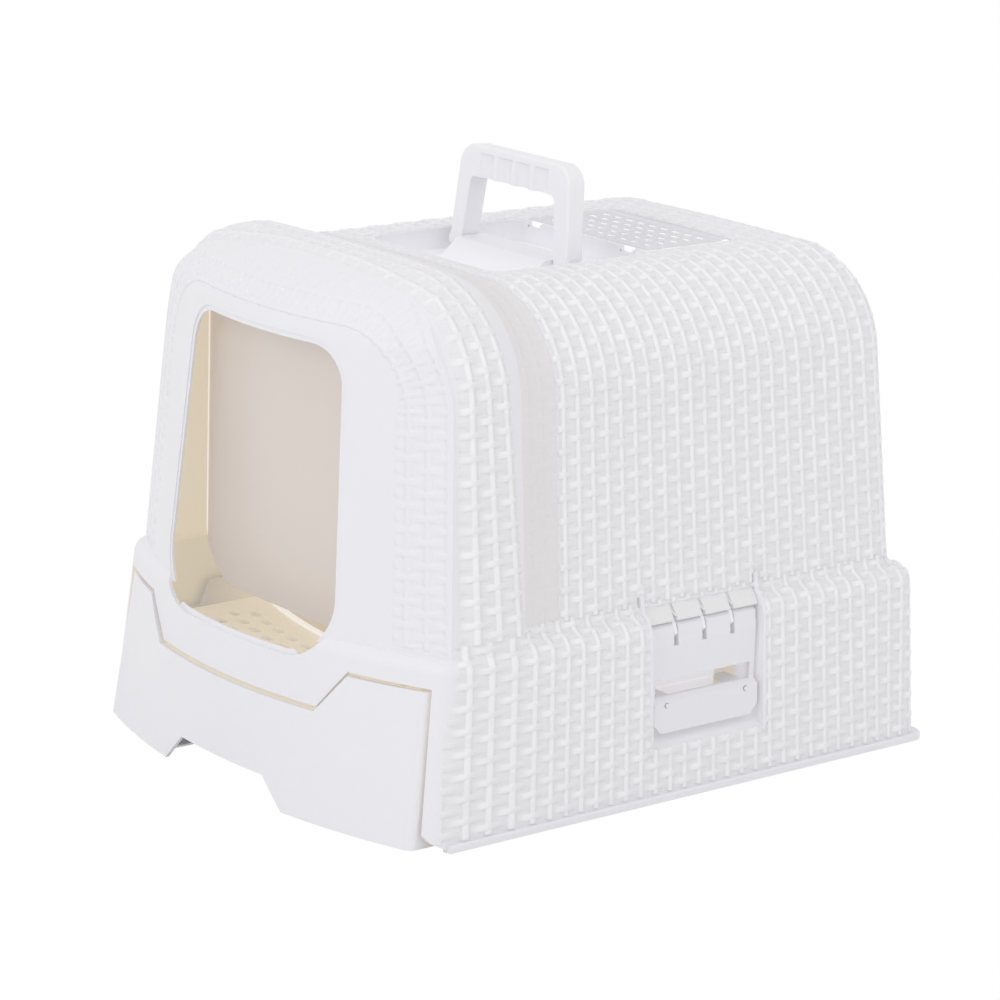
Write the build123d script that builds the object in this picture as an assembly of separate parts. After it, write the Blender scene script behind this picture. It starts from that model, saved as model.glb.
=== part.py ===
import os
from math import asin, cos, radians, sin, sqrt

from build123d import *

os.makedirs("parts", exist_ok=True)

# Frame: millimetres, front towards -Y, +Z up, floor at z = 0, x = 0 is the middle plane.

# Hood, general
wall = 2.6
side_draft = 0.077
ledge_height = 125.0

# Hood, main vault behind the front arch
vault_half_width = 157.3
vault_top = 344.0
vault_shoulder = 71.0
vault_crown = 1.0
vault_front = -86.0
vault_rear = 222.5
vault_rear_slope = 0.062
vault_rear_rounding = 26.0

# Hood, front arch
arch_front = -172.0
arch_half_width = 162.0
arch_top = 354.5
arch_shoulder = 84.0
arch_draft = 0.085
arch_rise = 2.6
arch_crest_shoulder = 76.0
arch_crest_front = -156.0
arch_crest_rear = -130.0

# Hood, bowed front face
face_middle = -212.4
face_lean = 0.088
face_lean_height = 303.0
face_bow_radius = 310.0
face_top_start = 314.0
face_top_roll = 0.0235

# Hood, doorway
door_top = 310.0
door_bottom = 109.0
door_top_half_width = 81.5
door_bottom_half_width = 96.0
door_top_radius = 27.0
door_bottom_radius = 37.0
door_rim_width = 3.6
door_rim_depth = 0.8

# Hood, skirt and flange
skirt_half_width = 187.5
skirt_top_half_width = 180.5
skirt_rear = 235.0
skirt_top_rear = 229.5
skirt_front = -232.5
skirt_top_front = -229.5
skirt_bow_radius = 520.0
skirt_top_bow_radius = 385.0
skirt_rear_corner = 19.0
skirt_front_corner = 14.0
skirt_top_rounding = 11.0
flange_half_width = 190.5
flange_rear = 237.5
flange_corner = 12.0
flange_front = -188.0
flange_thickness = 5.0

# Gap line between the hood and the drawer front
tongue_bottom = 77.0
tongue_half_width = 88.0
shoulder_line = 105.5
shoulder_half_width = 112.0
drawer_bay_half_width = 177.5
drawer_bay_top_half_width = 171.5
gap = 2.6

# Carrying handle and its well in the roof
well_half_width = 70.0
well_front = -70.0
well_rear = 60.0
well_floor = 330.0
well_corner = 14.0
saddle_half_width = 49.6
saddle_top = 342.5
saddle_front = -8.0
saddle_foot_front = -27.0
saddle_rear = 18.0
handle_pivot_y = 4.0
handle_pivot_z = 338.4
handle_lean = 4.0
handle_top = 406.5
handle_top_half_width = 58.0
handle_foot_half_width = 63.6
handle_leg_width = 13.0
handle_depth = 15.0
handle_grip_height = 22.0
handle_corner = 15.0
handle_flutes = 4
handle_flute_pitch = 19.5
handle_flute_radius = 10.5
handle_flute_depth = 3.4
handle_stub_diameter = 4.4
handle_stub_length = 6.0
handle_side_gap = 0.5

# Filter bay and cover in the roof
bay_half_width = 66.0
bay_front = 66.0
bay_rear = 146.0
bay_floor = 333.0
bay_corner = 3.5
cover_gap = 0.6
cover_thickness = 2.4
cover_rise = 0.6
cover_rest_gap = 0.3
cover_barrel_radius = 4.0
cover_barrel_inset = 3.4
filter_thickness = 6.0
filter_clearance = 5.2
vent_slots = 9
vent_slot_width = 4.0
vent_slot_length = 52.0

# Side latches and their pockets
pocket_middle = 34.0
pocket_width = 98.0
pocket_bottom = 35.0
pocket_ramp = 11.0
pocket_top = 132.0
pocket_floor = 164.0
pocket_wall = 2.6
pocket_rib_width = 3.4
pocket_rib_rise = 1.8
latch_width = 92.0
latch_sink = 3.0
latch_face = skirt_top_half_width - latch_sink
latch_thickness = 3.0
latch_bottom = 46.0
latch_pivot_depth = 4.9
latch_pivot_x = latch_face - latch_pivot_depth
latch_pivot_z = 112.6
latch_window_bottom = 69.0
latch_window_top = 80.5
latch_window_side = 4.0
latch_tab_rise = 5.1
latch_tab_face = latch_face + latch_tab_rise
latch_tab_corner = 7.0
latch_lugs = 3
latch_lug_pitch = 25.0
latch_lug_width = 3.0
latch_lug_gap = 0.5
latch_hook_width = 9.0
latch_hook_length = 16.1
latch_hook_height = 3.4
latch_pin_diameter = 3.0
pin_clearance = 0.05

# Base tub
tub_bottom = 3.0
tub_half_width = 156.5
tub_top_half_width = 159.0
tub_rear = 212.0
tub_top_rear = 215.0
tub_front = -176.0
tub_wall = 2.6
tub_corner = 18.0
tub_rim_height = 122.2
tub_rim_half_width = 168.0
tub_rim_rear = 217.5
runner_height = 3.0
runner_width = 8.0
runner_x = 96.0
catch_width = 64.0
catch_height = 10.0
catch_clearance = 0.4
catch_shift = -7.0
catch_gap = 0.7
foot_diameter = 22.0
foot_x = 128.0
foot_front = -140.0
foot_rear = 178.0

# Drawer
drawer_half_width = 152.5
drawer_rear = 204.0
drawer_back_height = 92.0
drawer_wall = 2.4
drawer_corner = 16.0
drawer_front_half_width = 174.0
drawer_front_top_half_width = 168.5
drawer_front_bottom = 0.6
drawer_front_middle = -237.5
drawer_front_top_middle = -232.5
drawer_front_bow = 520.0
drawer_front_top_bow = 372.0
drawer_front_wall = 3.0
drawer_front_return = 15.0
notch_half_width = 67.0
notch_top_half_width = 47.0
notch_height = 21.0

# Sieve plate over the front of the drawer
sieve_height = 71.0
sieve_thickness = 2.4
sieve_front_gap = 0.8
sieve_rear = -121.0
sieve_half_width = 149.0
sieve_apron_half_width = 143.0
sieve_ridge_height = 5.2
sieve_ridge_width = 5.0
sieve_hole_length = 12.0
sieve_hole_width = 6.0
sieve_rows = 6
sieve_columns = 13
sieve_row_pitch = 14.5
sieve_column_pitch = 20.5

# Swing flap
flap_y = -177.5
flap_thickness = 2.0
flap_half_width = 101.0
flap_bottom = 112.0
flap_corner = 40.0
flap_pivot_z = 326.0
flap_barrel_radius = 4.2
flap_pin_diameter = 4.0
flap_lug_thickness = 3.4
flap_lug_gap = 0.6
flap_bore_clearance = 0.08


def arch_outline(y, half_width, top, shoulder, draft, crown, bottom):
    """Closed upright outline in the plane y: drafted sides, round shoulders, slightly crowned top."""
    angle = asin(draft)
    centre_x = half_width - shoulder
    centre_z = top - shoulder
    start_x = centre_x + shoulder * cos(angle)
    start_z = centre_z + shoulder * sin(angle)
    foot_x_ = start_x + (start_z - bottom) * draft
    middle = radians(45)
    middle_x = centre_x + shoulder * cos(middle)
    middle_z = centre_z + shoulder * sin(middle)
    right_side = Line((foot_x_, y, bottom), (start_x, y, start_z))
    right_shoulder = ThreePointArc((start_x, y, start_z), (middle_x, y, middle_z), (centre_x, y, top))
    roof = ThreePointArc((centre_x, y, top), (0, y, top + crown), (-centre_x, y, top))
    left_shoulder = ThreePointArc((-centre_x, y, top), (-middle_x, y, middle_z), (-start_x, y, start_z))
    left_side = Line((-start_x, y, start_z), (-foot_x_, y, bottom))
    floor = Line((-foot_x_, y, bottom), (foot_x_, y, bottom))
    return Face(Wire([right_side, right_shoulder, roof, left_shoulder, left_side, floor]))


def vault(inset, bottom):
    """The main vault with its leaning, rounded rear end."""
    outline = arch_outline(
        vault_front - 1.0, vault_half_width - inset, vault_top - inset, vault_shoulder - inset,
        side_draft, vault_crown, bottom,
    )
    body = extrude(outline, amount=vault_rear - vault_front + 20.0, dir=(0, 1, 0))
    rear = vault_rear - inset
    drop = ledge_height - bottom
    rise = 400.0 - ledge_height
    rear_low = rear + drop * vault_rear_slope
    rear_high = rear - rise * vault_rear_slope
    side = Polyline(
        (0, vault_front - 50.0, bottom - 1.0),
        (0, rear_low, bottom - 1.0),
        (0, rear_high, 400.0),
        (0, vault_front - 50.0, 400.0),
        close=True,
    )
    keep = extrude(Face(Wire(side.edges())), amount=260.0, both=True)
    body = body & keep
    rear_face = body.faces().sort_by(Axis.Y)[-1]
    edges = [edge for edge in rear_face.edges() if edge.center().Z > bottom + 5.0]
    return fillet(edges, vault_rear_rounding - inset)


def face_y(x, z):
    """Position of the bowed, leaning front face."""
    roll = max(0.0, z - face_top_start)
    bow = x * x / (2.0 * face_bow_radius)
    return face_middle - (face_lean_height - z) * face_lean + bow + face_top_roll * roll * roll


def behind_face(inset):
    """Block that fills everything behind the front face."""
    columns = [-200.0 + 20.0 * i for i in range(21)]
    heights = [40.0 + 20.0 * i for i in range(14)] + [314.0, 326.0, 338.0, 350.0, 362.0, 374.0]
    points = [[Vector(x, face_y(x, z) + inset, z) for z in heights] for x in columns]
    surface = Face.make_surface_from_array_of_points(points)
    return Solid.extrude(surface, Vector(0, 160, 0))


def arch(inset, bottom):
    """The front arch: domed face, then a soft crest that falls into a valley."""
    steps = (
        (arch_front, 0.0),
        (arch_front + 8.0, 0.55),
        (arch_crest_front, 0.9),
        ((arch_crest_front + arch_crest_rear) / 2.0, 1.0),
        (arch_crest_rear, 0.85),
    )
    sections = []
    for y, share in steps:
        rise = arch_rise * share
        sections.append(arch_outline(
            y, arch_half_width + rise - inset, arch_top + rise - inset,
            arch_shoulder + (arch_crest_shoulder - arch_shoulder) * share - inset,
            arch_draft, vault_crown, bottom,
        ))
    falls = (
        (arch_crest_rear + 9.0, 0.68),
        (arch_crest_rear + 18.0, 0.35),
        (arch_crest_rear + 27.0, 0.1),
        (vault_front, 0.0),
        (vault_front + 6.0, 0.0),
    )
    crest = arch_rise * 0.85
    for y, share in falls:
        sections.append(arch_outline(
            y,
            vault_half_width + (arch_half_width + crest - vault_half_width) * share - inset,
            vault_top + (arch_top + crest - vault_top) * share - inset,
            vault_shoulder + (arch_crest_shoulder - vault_shoulder) * share - inset,
            side_draft + (arch_draft - side_draft) * share,
            vault_crown,
            bottom,
        ))
    back = Solid.make_loft([section.outer_wire() for section in sections])
    front = extrude(sections[0], amount=80.0, dir=(0, -1, 0))
    return (front + back) & behind_face(inset)


def skirt_outline(z, half_width, front, rear, bow_radius, inset):
    """Plan outline of the skirt: straight sides and rear, bowed front."""
    half = half_width - inset
    bow = bow_radius - inset
    front_y = front + inset
    corner_y = front_y + bow - sqrt(bow * bow - half * half)
    rear_y = rear - inset
    edges = [
        Line((half, corner_y, z), (half, rear_y, z)),
        Line((half, rear_y, z), (-half, rear_y, z)),
        Line((-half, rear_y, z), (-half, corner_y, z)),
        ThreePointArc((-half, corner_y, z), (0, front_y, z), (half, corner_y, z)),
    ]
    outline = Face(Wire(edges))
    corners = outline.vertices().sort_by(Axis.Y)
    outline = fillet(corners[:2], skirt_front_corner)
    corners = outline.vertices().sort_by(Axis.Y)
    return fillet(corners[-2:], skirt_rear_corner - inset / 2.0).face()


def skirt(inset, bottom):
    """Drafted skirt with a rounded upper edge that makes the ledge."""
    slope = (skirt_half_width - skirt_top_half_width) / ledge_height
    drop = -bottom * slope
    low = skirt_outline(
        bottom, skirt_half_width + drop, skirt_front, skirt_rear, skirt_bow_radius, inset,
    )
    top = ledge_height - inset
    high = skirt_outline(
        top, skirt_top_half_width, skirt_top_front, skirt_top_rear, skirt_top_bow_radius, inset,
    )
    body = Solid.make_loft([low.outer_wire(), high.outer_wire()], True)
    top_face = body.faces().sort_by(Axis.Z)[-1]
    return fillet(top_face.edges(), skirt_top_rounding - inset)


def extruded_in_x(points, from_x, to_x):
    """Prism along X from corner points given as (y, z)."""
    outline = Polyline(*[(from_x, y, z) for y, z in points], close=True)
    return extrude(Face(Wire(outline.edges())), amount=to_x - from_x, dir=(1, 0, 0))


def extruded_in_y(points, from_y, to_y):
    """Prism along Y from corner points given as (x, z)."""
    outline = Polyline(*[(x, from_y, z) for x, z in points], close=True)
    return extrude(Face(Wire(outline.edges())), amount=to_y - from_y, dir=(0, 1, 0))


def block(x0, x1, y0, y1, z0, z1):
    centre = ((x0 + x1) / 2.0, (y0 + y1) / 2.0, (z0 + z1) / 2.0)
    return Pos(*centre) * Box(x1 - x0, y1 - y0, z1 - z0)


def rounded_block(x0, x1, y0, y1, z0, z1, radius):
    body = block(x0, x1, y0, y1, z0, z1)
    return fillet(body.edges().filter_by(Axis.Z), radius)


def rod(start, axis, length, radius):
    """Round bar from a start point along an axis name."""
    turns = {"x": (0, 90, 0), "y": (-90, 0, 0), "z": (0, 0, 0)}
    bar = Cylinder(radius, length, align=(Align.CENTER, Align.CENTER, Align.MIN))
    return Pos(*start) * Rot(*turns[axis]) * bar


def mirrored(shape):
    return mirror(shape, about=Plane.YZ)


def doorway(extra):
    """Rounded, slightly tapered doorway outline, as a prism through the face."""
    points = (
        (-door_bottom_half_width - extra, door_bottom - extra),
        (door_bottom_half_width + extra, door_bottom - extra),
        (door_top_half_width + extra, door_top + extra),
        (-door_top_half_width - extra, door_top + extra),
    )
    prism = extruded_in_y(points, -260.0, -150.0)
    long_edges = prism.edges().filter_by(Axis.Y).sort_by(Axis.Z)
    prism = fillet(long_edges[:2], door_bottom_radius + extra)
    long_edges = [e for e in prism.edges().filter_by(Axis.Y) if e.center().Z > door_top - 1.0]
    return fillet(long_edges, door_top_radius + extra)


def drawer_bay(side_gap):
    """Space under the gap line of the hood front, shrunk by side_gap for the drawer front."""
    half = drawer_bay_half_width - side_gap
    top_half = drawer_bay_top_half_width - side_gap
    slant = side_gap * 0.45
    return (
        (-half, -20.0),
        (-top_half, shoulder_line - side_gap),
        (-shoulder_half_width - slant, shoulder_line - side_gap),
        (-tongue_half_width - slant, tongue_bottom - side_gap),
        (tongue_half_width + slant, tongue_bottom - side_gap),
        (shoulder_half_width + slant, shoulder_line - side_gap),
        (top_half, shoulder_line - side_gap),
        (half, -20.0),
    )


# The hood
pocket_y0 = pocket_middle - pocket_width / 2.0
pocket_y1 = pocket_middle + pocket_width / 2.0
latch_y0 = pocket_middle - latch_width / 2.0
latch_y1 = pocket_middle + latch_width / 2.0


def flange():
    """Rim round the foot of the hood, along both sides and the rear."""
    plate = rounded_block(
        -flange_half_width, flange_half_width, flange_front - 24.0, flange_rear,
        0.0, flange_thickness, flange_corner,
    )
    top = plate.faces().sort_by(Axis.Z)[-1]
    plate = fillet(top.edges(), 1.8)
    return plate - block(-220.0, 220.0, -300.0, flange_front, -1.0, 20.0)


def hood_envelope():
    return vault(0.0, 100.0) + arch(0.0, 100.0) + skirt(0.0, 0.0)


def hood_hollow():
    below = 90.0
    inner = vault(wall, below) + arch(wall, below)
    return inner + skirt(wall, -2.0)


def roof_well():
    """Outside and inside blocks of the recess that the handle stands in."""
    outside = rounded_block(
        -well_half_width - wall, well_half_width + wall, well_front - wall, well_rear + wall,
        well_floor - wall, vault_top - 1.0, well_corner + wall,
    )
    inside = rounded_block(
        -well_half_width, well_half_width, well_front, well_rear,
        well_floor, 380.0, well_corner,
    )
    return outside, inside


def filter_bay():
    outside = rounded_block(
        -bay_half_width - wall, bay_half_width + wall, bay_front - wall, bay_rear + wall,
        bay_floor - wall, vault_top - 1.0, bay_corner + wall,
    )
    inside = rounded_block(
        -bay_half_width, bay_half_width, bay_front, bay_rear,
        bay_floor, 380.0, bay_corner,
    )
    return outside, inside


def leg_slope():
    """Sideways lean of the handle legs, in mm per mm of height."""
    rise = handle_top - handle_grip_height - handle_pivot_z
    return (handle_foot_half_width - handle_top_half_width) / rise


def cover_hinge():
    """Hinge line of the filter cover as (y, z)."""
    return bay_rear - cover_barrel_radius - cover_gap, vault_top + cover_rise - cover_barrel_radius


def saddle():
    """Low bridge in the well that carries the two handle pivots."""
    points = (
        (saddle_foot_front, well_floor - 1.0),
        (saddle_front, saddle_top),
        (saddle_rear, saddle_top),
        (saddle_rear + 3.0, well_floor - 1.0),
    )
    bridge = extruded_in_x(points, -saddle_half_width, saddle_half_width)
    # the sides converge forwards like the legs of the handle, which folds down over the bridge
    low_y = saddle_foot_front - 1.0
    reach = handle_pivot_y - low_y
    narrow = saddle_half_width - reach * leg_slope()
    plan = Polyline(
        (-narrow, low_y, 0.0), (narrow, low_y, 0.0),
        (saddle_half_width, handle_pivot_y, 0.0), (saddle_half_width, saddle_rear + 5.0, 0.0),
        (-saddle_half_width, saddle_rear + 5.0, 0.0), (-saddle_half_width, handle_pivot_y, 0.0),
        close=True,
    )
    bridge = bridge & extrude(Face(Wire(plan.edges())), amount=400.0, dir=(0, 0, 1))
    crest = bridge.edges().filter_by(Axis.X).sort_by(Axis.Z)[-2:]
    bridge = fillet(crest, 3.0)
    bore = rod(
        (-saddle_half_width - 1.0, handle_pivot_y, handle_pivot_z), "x",
        2.0 * saddle_half_width + 2.0, handle_stub_diameter / 2.0 + pin_clearance,
    )
    core = block(
        -saddle_half_width + handle_stub_length + 2.0, saddle_half_width - handle_stub_length - 2.0,
        saddle_foot_front, saddle_rear + 3.0, well_floor - 1.0, saddle_top - 0.1,
    )
    return bridge - (bore - core)


def pocket_parts():
    """Solid to add and spaces to cut for the right latch pocket."""
    liner = block(
        pocket_floor - pocket_wall, 186.0, pocket_y0 - pocket_wall, pocket_y1 + pocket_wall,
        pocket_bottom - pocket_wall, pocket_top + pocket_wall,
    )
    space = extruded_in_y(
        ((pocket_floor, pocket_bottom + pocket_ramp), (188.0, pocket_bottom), (220.0, pocket_bottom),
         (220.0, pocket_top), (pocket_floor, pocket_top)),
        pocket_y0, pocket_y1,
    )
    # opening in the pocket floor through which the latch hooks reach the tub
    slot = block(
        pocket_floor - 6.0, pocket_floor + 0.5,
        latch_y0 + latch_window_side, latch_y1 - latch_window_side,
        latch_window_bottom - 7.0, latch_window_top + 4.0,
    )
    return liner, space, slot


def pocket_rib(y_centre):
    """Raised bead along one side of the pocket, over the skirt, the ledge and up the vault."""
    rise = pocket_rib_rise
    skirt_slope = (skirt_half_width - skirt_top_half_width) / ledge_height
    skirt_low = skirt_half_width - pocket_bottom * skirt_slope
    vault_side = vault_half_width + (ledge_height - (vault_top - vault_shoulder)) * -side_draft
    points = (
        (pocket_floor + 2.0, pocket_bottom - 2.0),
        (skirt_low + rise, pocket_bottom - 2.0),
        (skirt_top_half_width + rise, ledge_height - skirt_top_rounding),
        (skirt_top_half_width - 4.0 + rise, ledge_height - 2.0 + rise),
        (vault_side + 2.5 + rise, ledge_height + 2.0 + rise),
        (vault_side - 1.0 + rise, ledge_height + 22.0),
        (pocket_floor + 2.0, ledge_height + 22.0),
    )
    half = pocket_rib_width / 2.0
    rib = extruded_in_y(points, y_centre - half, y_centre + half)
    outer = [edge for edge in rib.edges() if edge.center().X > vault_side + 1.0]
    outer = [edge for edge in outer if abs(edge.center().Y - y_centre) > half - 0.1]
    try:
        return fillet(outer, 1.2)
    except ValueError:
        return rib


def latch_lug(y_centre):
    """Hood ear that carries the latch pin."""
    half = latch_lug_width / 2.0
    points = (
        (pocket_floor - 1.0, latch_pivot_z - 9.0),
        (latch_pivot_x + 1.5, latch_pivot_z - 4.2),
        (latch_pivot_x + 4.2, latch_pivot_z - 1.5),
        (latch_pivot_x + 1.8, latch_pivot_z + 4.6),
        (pocket_floor + 3.6, ledge_height + 4.0),
        (pocket_floor - 1.0, ledge_height + 4.0),
    )
    return extruded_in_y(points, y_centre - half, y_centre + half)


def lug_places():
    middle = (latch_lugs - 1) / 2.0
    return [pocket_middle + (i - middle) * latch_lug_pitch for i in range(latch_lugs)]


def latch_pin_hole(extra):
    return rod(
        (latch_pivot_x, pocket_y0 - 2.0, latch_pivot_z), "y",
        pocket_width + 4.0, latch_pin_diameter / 2.0 + extra,
    )


def flap_lug():
    """Ear under the arch roof, right side, with the pivot bore."""
    inner = flap_half_width + flap_lug_gap + 0.6
    outer = inner + flap_lug_thickness
    ear = block(inner, outer, flap_y - 9.0, flap_y + 9.0, flap_pivot_z - 8.0, 365.0)
    bore = rod(
        (inner - 1.0, flap_y, flap_pivot_z), "x", flap_lug_thickness + 2.0,
        flap_pin_diameter / 2.0 + pin_clearance,
    )
    return ear - bore


def make_hood():
    envelope = hood_envelope()
    shell = envelope - hood_hollow()
    well_outside, well_inside = roof_well()
    bay_outside, bay_inside = filter_bay()
    shell = shell + well_outside + bay_outside
    shell = shell - well_inside - bay_inside
    shell = shell + saddle()
    # vent slots under the filter
    for i in range(vent_slots):
        x = (i - (vent_slots - 1) / 2.0) * 12.5
        shell = shell - rounded_block(
            x - vent_slot_width / 2.0, x + vent_slot_width / 2.0,
            (bay_front + bay_rear - vent_slot_length) / 2.0,
            (bay_front + bay_rear + vent_slot_length) / 2.0,
            bay_floor - 6.0, bay_floor + 2.0, 1.9,
        )
    # pivot dimples for the cover hinge and finger slots at its front corners
    hinge_y, hinge_z = cover_hinge()
    for x in (-bay_half_width - 2.0, bay_half_width - 0.2):
        shell = shell - rod((x, hinge_y, hinge_z), "x", 2.2, 1.5)
    for x in (-50.0, 50.0):
        shell = shell - block(x - 8.0, x + 8.0, well_rear - 1.0, bay_front + 1.0, 341.0, 352.0)
    # latch pockets
    liner, space, slot = pocket_parts()
    pockets = (liner & envelope) + pocket_rib(pocket_y0 - 1.6) + pocket_rib(pocket_y1 + 1.6)
    shell = shell + pockets + mirrored(pockets)
    shell = shell - space - mirrored(space)
    lugs = latch_lug(pocket_middle)
    for y in lug_places():
        lugs = lugs + latch_lug(y)
    shell = shell + lugs + mirrored(lugs)
    hole = latch_pin_hole(pin_clearance)
    shell = shell - slot - mirrored(slot) - hole - mirrored(hole)
    # flap ears
    ear = flap_lug() & envelope
    shell = shell + ear + mirrored(ear)
    # doorway with a sunk rim line
    shell = shell - doorway(0.0) - (doorway(door_rim_width) - behind_face(door_rim_depth))
    # drawer bay
    shell = shell - extruded_in_y(drawer_bay(0.0), -260.0, -183.0)
    # lower front corners of the skirt are rounded back
    corner = extruded_in_x(
        ((-260.0, -5.0), (-189.0, -5.0), (-189.0, 2.0), (-197.0, 6.0), (-203.0, 14.0), (-204.0, 24.0),
         (-260.0, 24.0)),
        -200.0, 200.0,
    )
    shell = shell - corner
    rim = flange() - skirt(wall, -2.0)
    shell = shell + rim
    return shell


# The carrying handle
def make_handle():
    foot_z = handle_pivot_z
    inner_top = handle_top_half_width - handle_leg_width
    inner_foot = handle_foot_half_width - handle_leg_width
    y0 = handle_pivot_y - handle_depth / 2.0
    y1 = handle_pivot_y + handle_depth / 2.0
    outer = extruded_in_y(
        ((-handle_foot_half_width, foot_z), (handle_foot_half_width, foot_z),
         (handle_top_half_width, handle_top), (-handle_top_half_width, handle_top)),
        y0, y1,
    )
    top_edges = outer.edges().filter_by(Axis.Y).sort_by(Axis.Z)[-2:]
    outer = fillet(top_edges, handle_corner)
    grip_bottom = handle_top - handle_grip_height
    below = 20.0
    inner_low = inner_foot + below * leg_slope()
    window = extruded_in_y(
        ((-inner_low, foot_z - below), (inner_low, foot_z - below),
         (inner_top, grip_bottom), (-inner_top, grip_bottom)),
        y0 - 1.0, y1 + 1.0,
    )
    window_edges = window.edges().filter_by(Axis.Y).sort_by(Axis.Z)[-2:]
    window = fillet(window_edges, 4.0)
    handle = outer - window
    # finger flutes on the front of the grip
    for i in range(handle_flutes):
        x = (i - (handle_flutes - 1) / 2.0) * handle_flute_pitch
        y = y0 - handle_flute_radius + handle_flute_depth
        cutter = rod((x, y, grip_bottom - 2.0), "z", handle_grip_height - 3.0, handle_flute_radius)
        handle = handle - cutter
    outline_edges = [
        edge for edge in handle.edges()
        if edge.center().Z > handle_top - 12.0 and abs(edge.center().X) > 20.0 and edge.length > 18.0
    ]
    long_edges = handle.edges().filter_by(Axis.X)
    outline_edges += [edge for edge in long_edges if edge.center().Z > handle_top - 1.0]
    try:
        handle = fillet(outline_edges, 2.2)
    except ValueError:
        pass
    # round feet with inward stubs
    foot_radius = handle_depth / 2.0
    foot_inner = saddle_half_width + handle_side_gap
    for side in (-1, 1):
        start = foot_inner if side > 0 else -handle_foot_half_width
        width = handle_foot_half_width - foot_inner
        handle = handle + rod((start, handle_pivot_y, foot_z), "x", width, foot_radius)
        stub_start = foot_inner - handle_stub_length if side > 0 else -foot_inner - 1.0
        handle = handle + rod(
            (stub_start, handle_pivot_y, foot_z), "x", handle_stub_length + 1.0, handle_stub_diameter / 2.0,
        )
    pivot = Axis((0, handle_pivot_y, foot_z), (1, 0, 0))
    return handle.rotate(pivot, -handle_lean)


# Filter cover and filter
def make_filter_cover():
    half = bay_half_width - cover_gap
    top = vault_top + cover_rise
    y0 = bay_front + cover_gap
    hinge_y, hinge_z = cover_hinge()
    plate = block(-half, half, y0, hinge_y, bay_floor + cover_rest_gap, top)
    front_corners = plate.edges().filter_by(Axis.Z).sort_by(Axis.Y)[:2]
    plate = fillet(front_corners, bay_corner - cover_gap)
    inner = block(-half + 2.2, half - 2.2, y0 + 2.2, hinge_y - 2.2, 300.0, top - cover_thickness)
    cover = plate - inner
    # the sides are cut away under the hinge so that the cover can swing up
    cover = cover - block(-80.0, 80.0, hinge_y - 12.0, hinge_y + 5.0, 300.0, top - cover_thickness - 3.0)
    # beside the barrel the plate ends earlier, so that it clears the corners of the bay when it is open
    barrel_half = half - cover_barrel_inset
    for side in (-1, 1):
        start = barrel_half if side > 0 else -half - 1.0
        cover = cover - block(
            start, start + cover_barrel_inset + 1.0, hinge_y - cover_barrel_radius - 1.5, hinge_y + 5.0,
            300.0, top + 1.0,
        )
    # hinge barrel along the rear edge, concentric with its pivots
    cover = cover + rod((-barrel_half, hinge_y, hinge_z), "x", 2.0 * barrel_half, cover_barrel_radius)
    for side in (-1, 1):
        start = barrel_half - 0.5 if side > 0 else -half - 1.4
        cover = cover + rod((start, hinge_y, hinge_z), "x", half + 1.9 - barrel_half, 1.4)
    # rows of small air slots
    for row in range(5):
        for column in range(9):
            x = (column - 4) * 12.5
            y = (y0 + hinge_y) / 2.0 + (row - 2) * 12.0
            cover = cover - block(x - 3.6, x + 3.6, y - 1.2, y + 1.2, 330.0, 352.0)
    return cover


def make_carbon_filter():
    half = bay_half_width - filter_clearance
    rear = cover_hinge()[0] - cover_barrel_radius - 1.5
    return rounded_block(
        -half, half, bay_front + filter_clearance, rear,
        bay_floor, bay_floor + filter_thickness, 4.0,
    )


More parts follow.
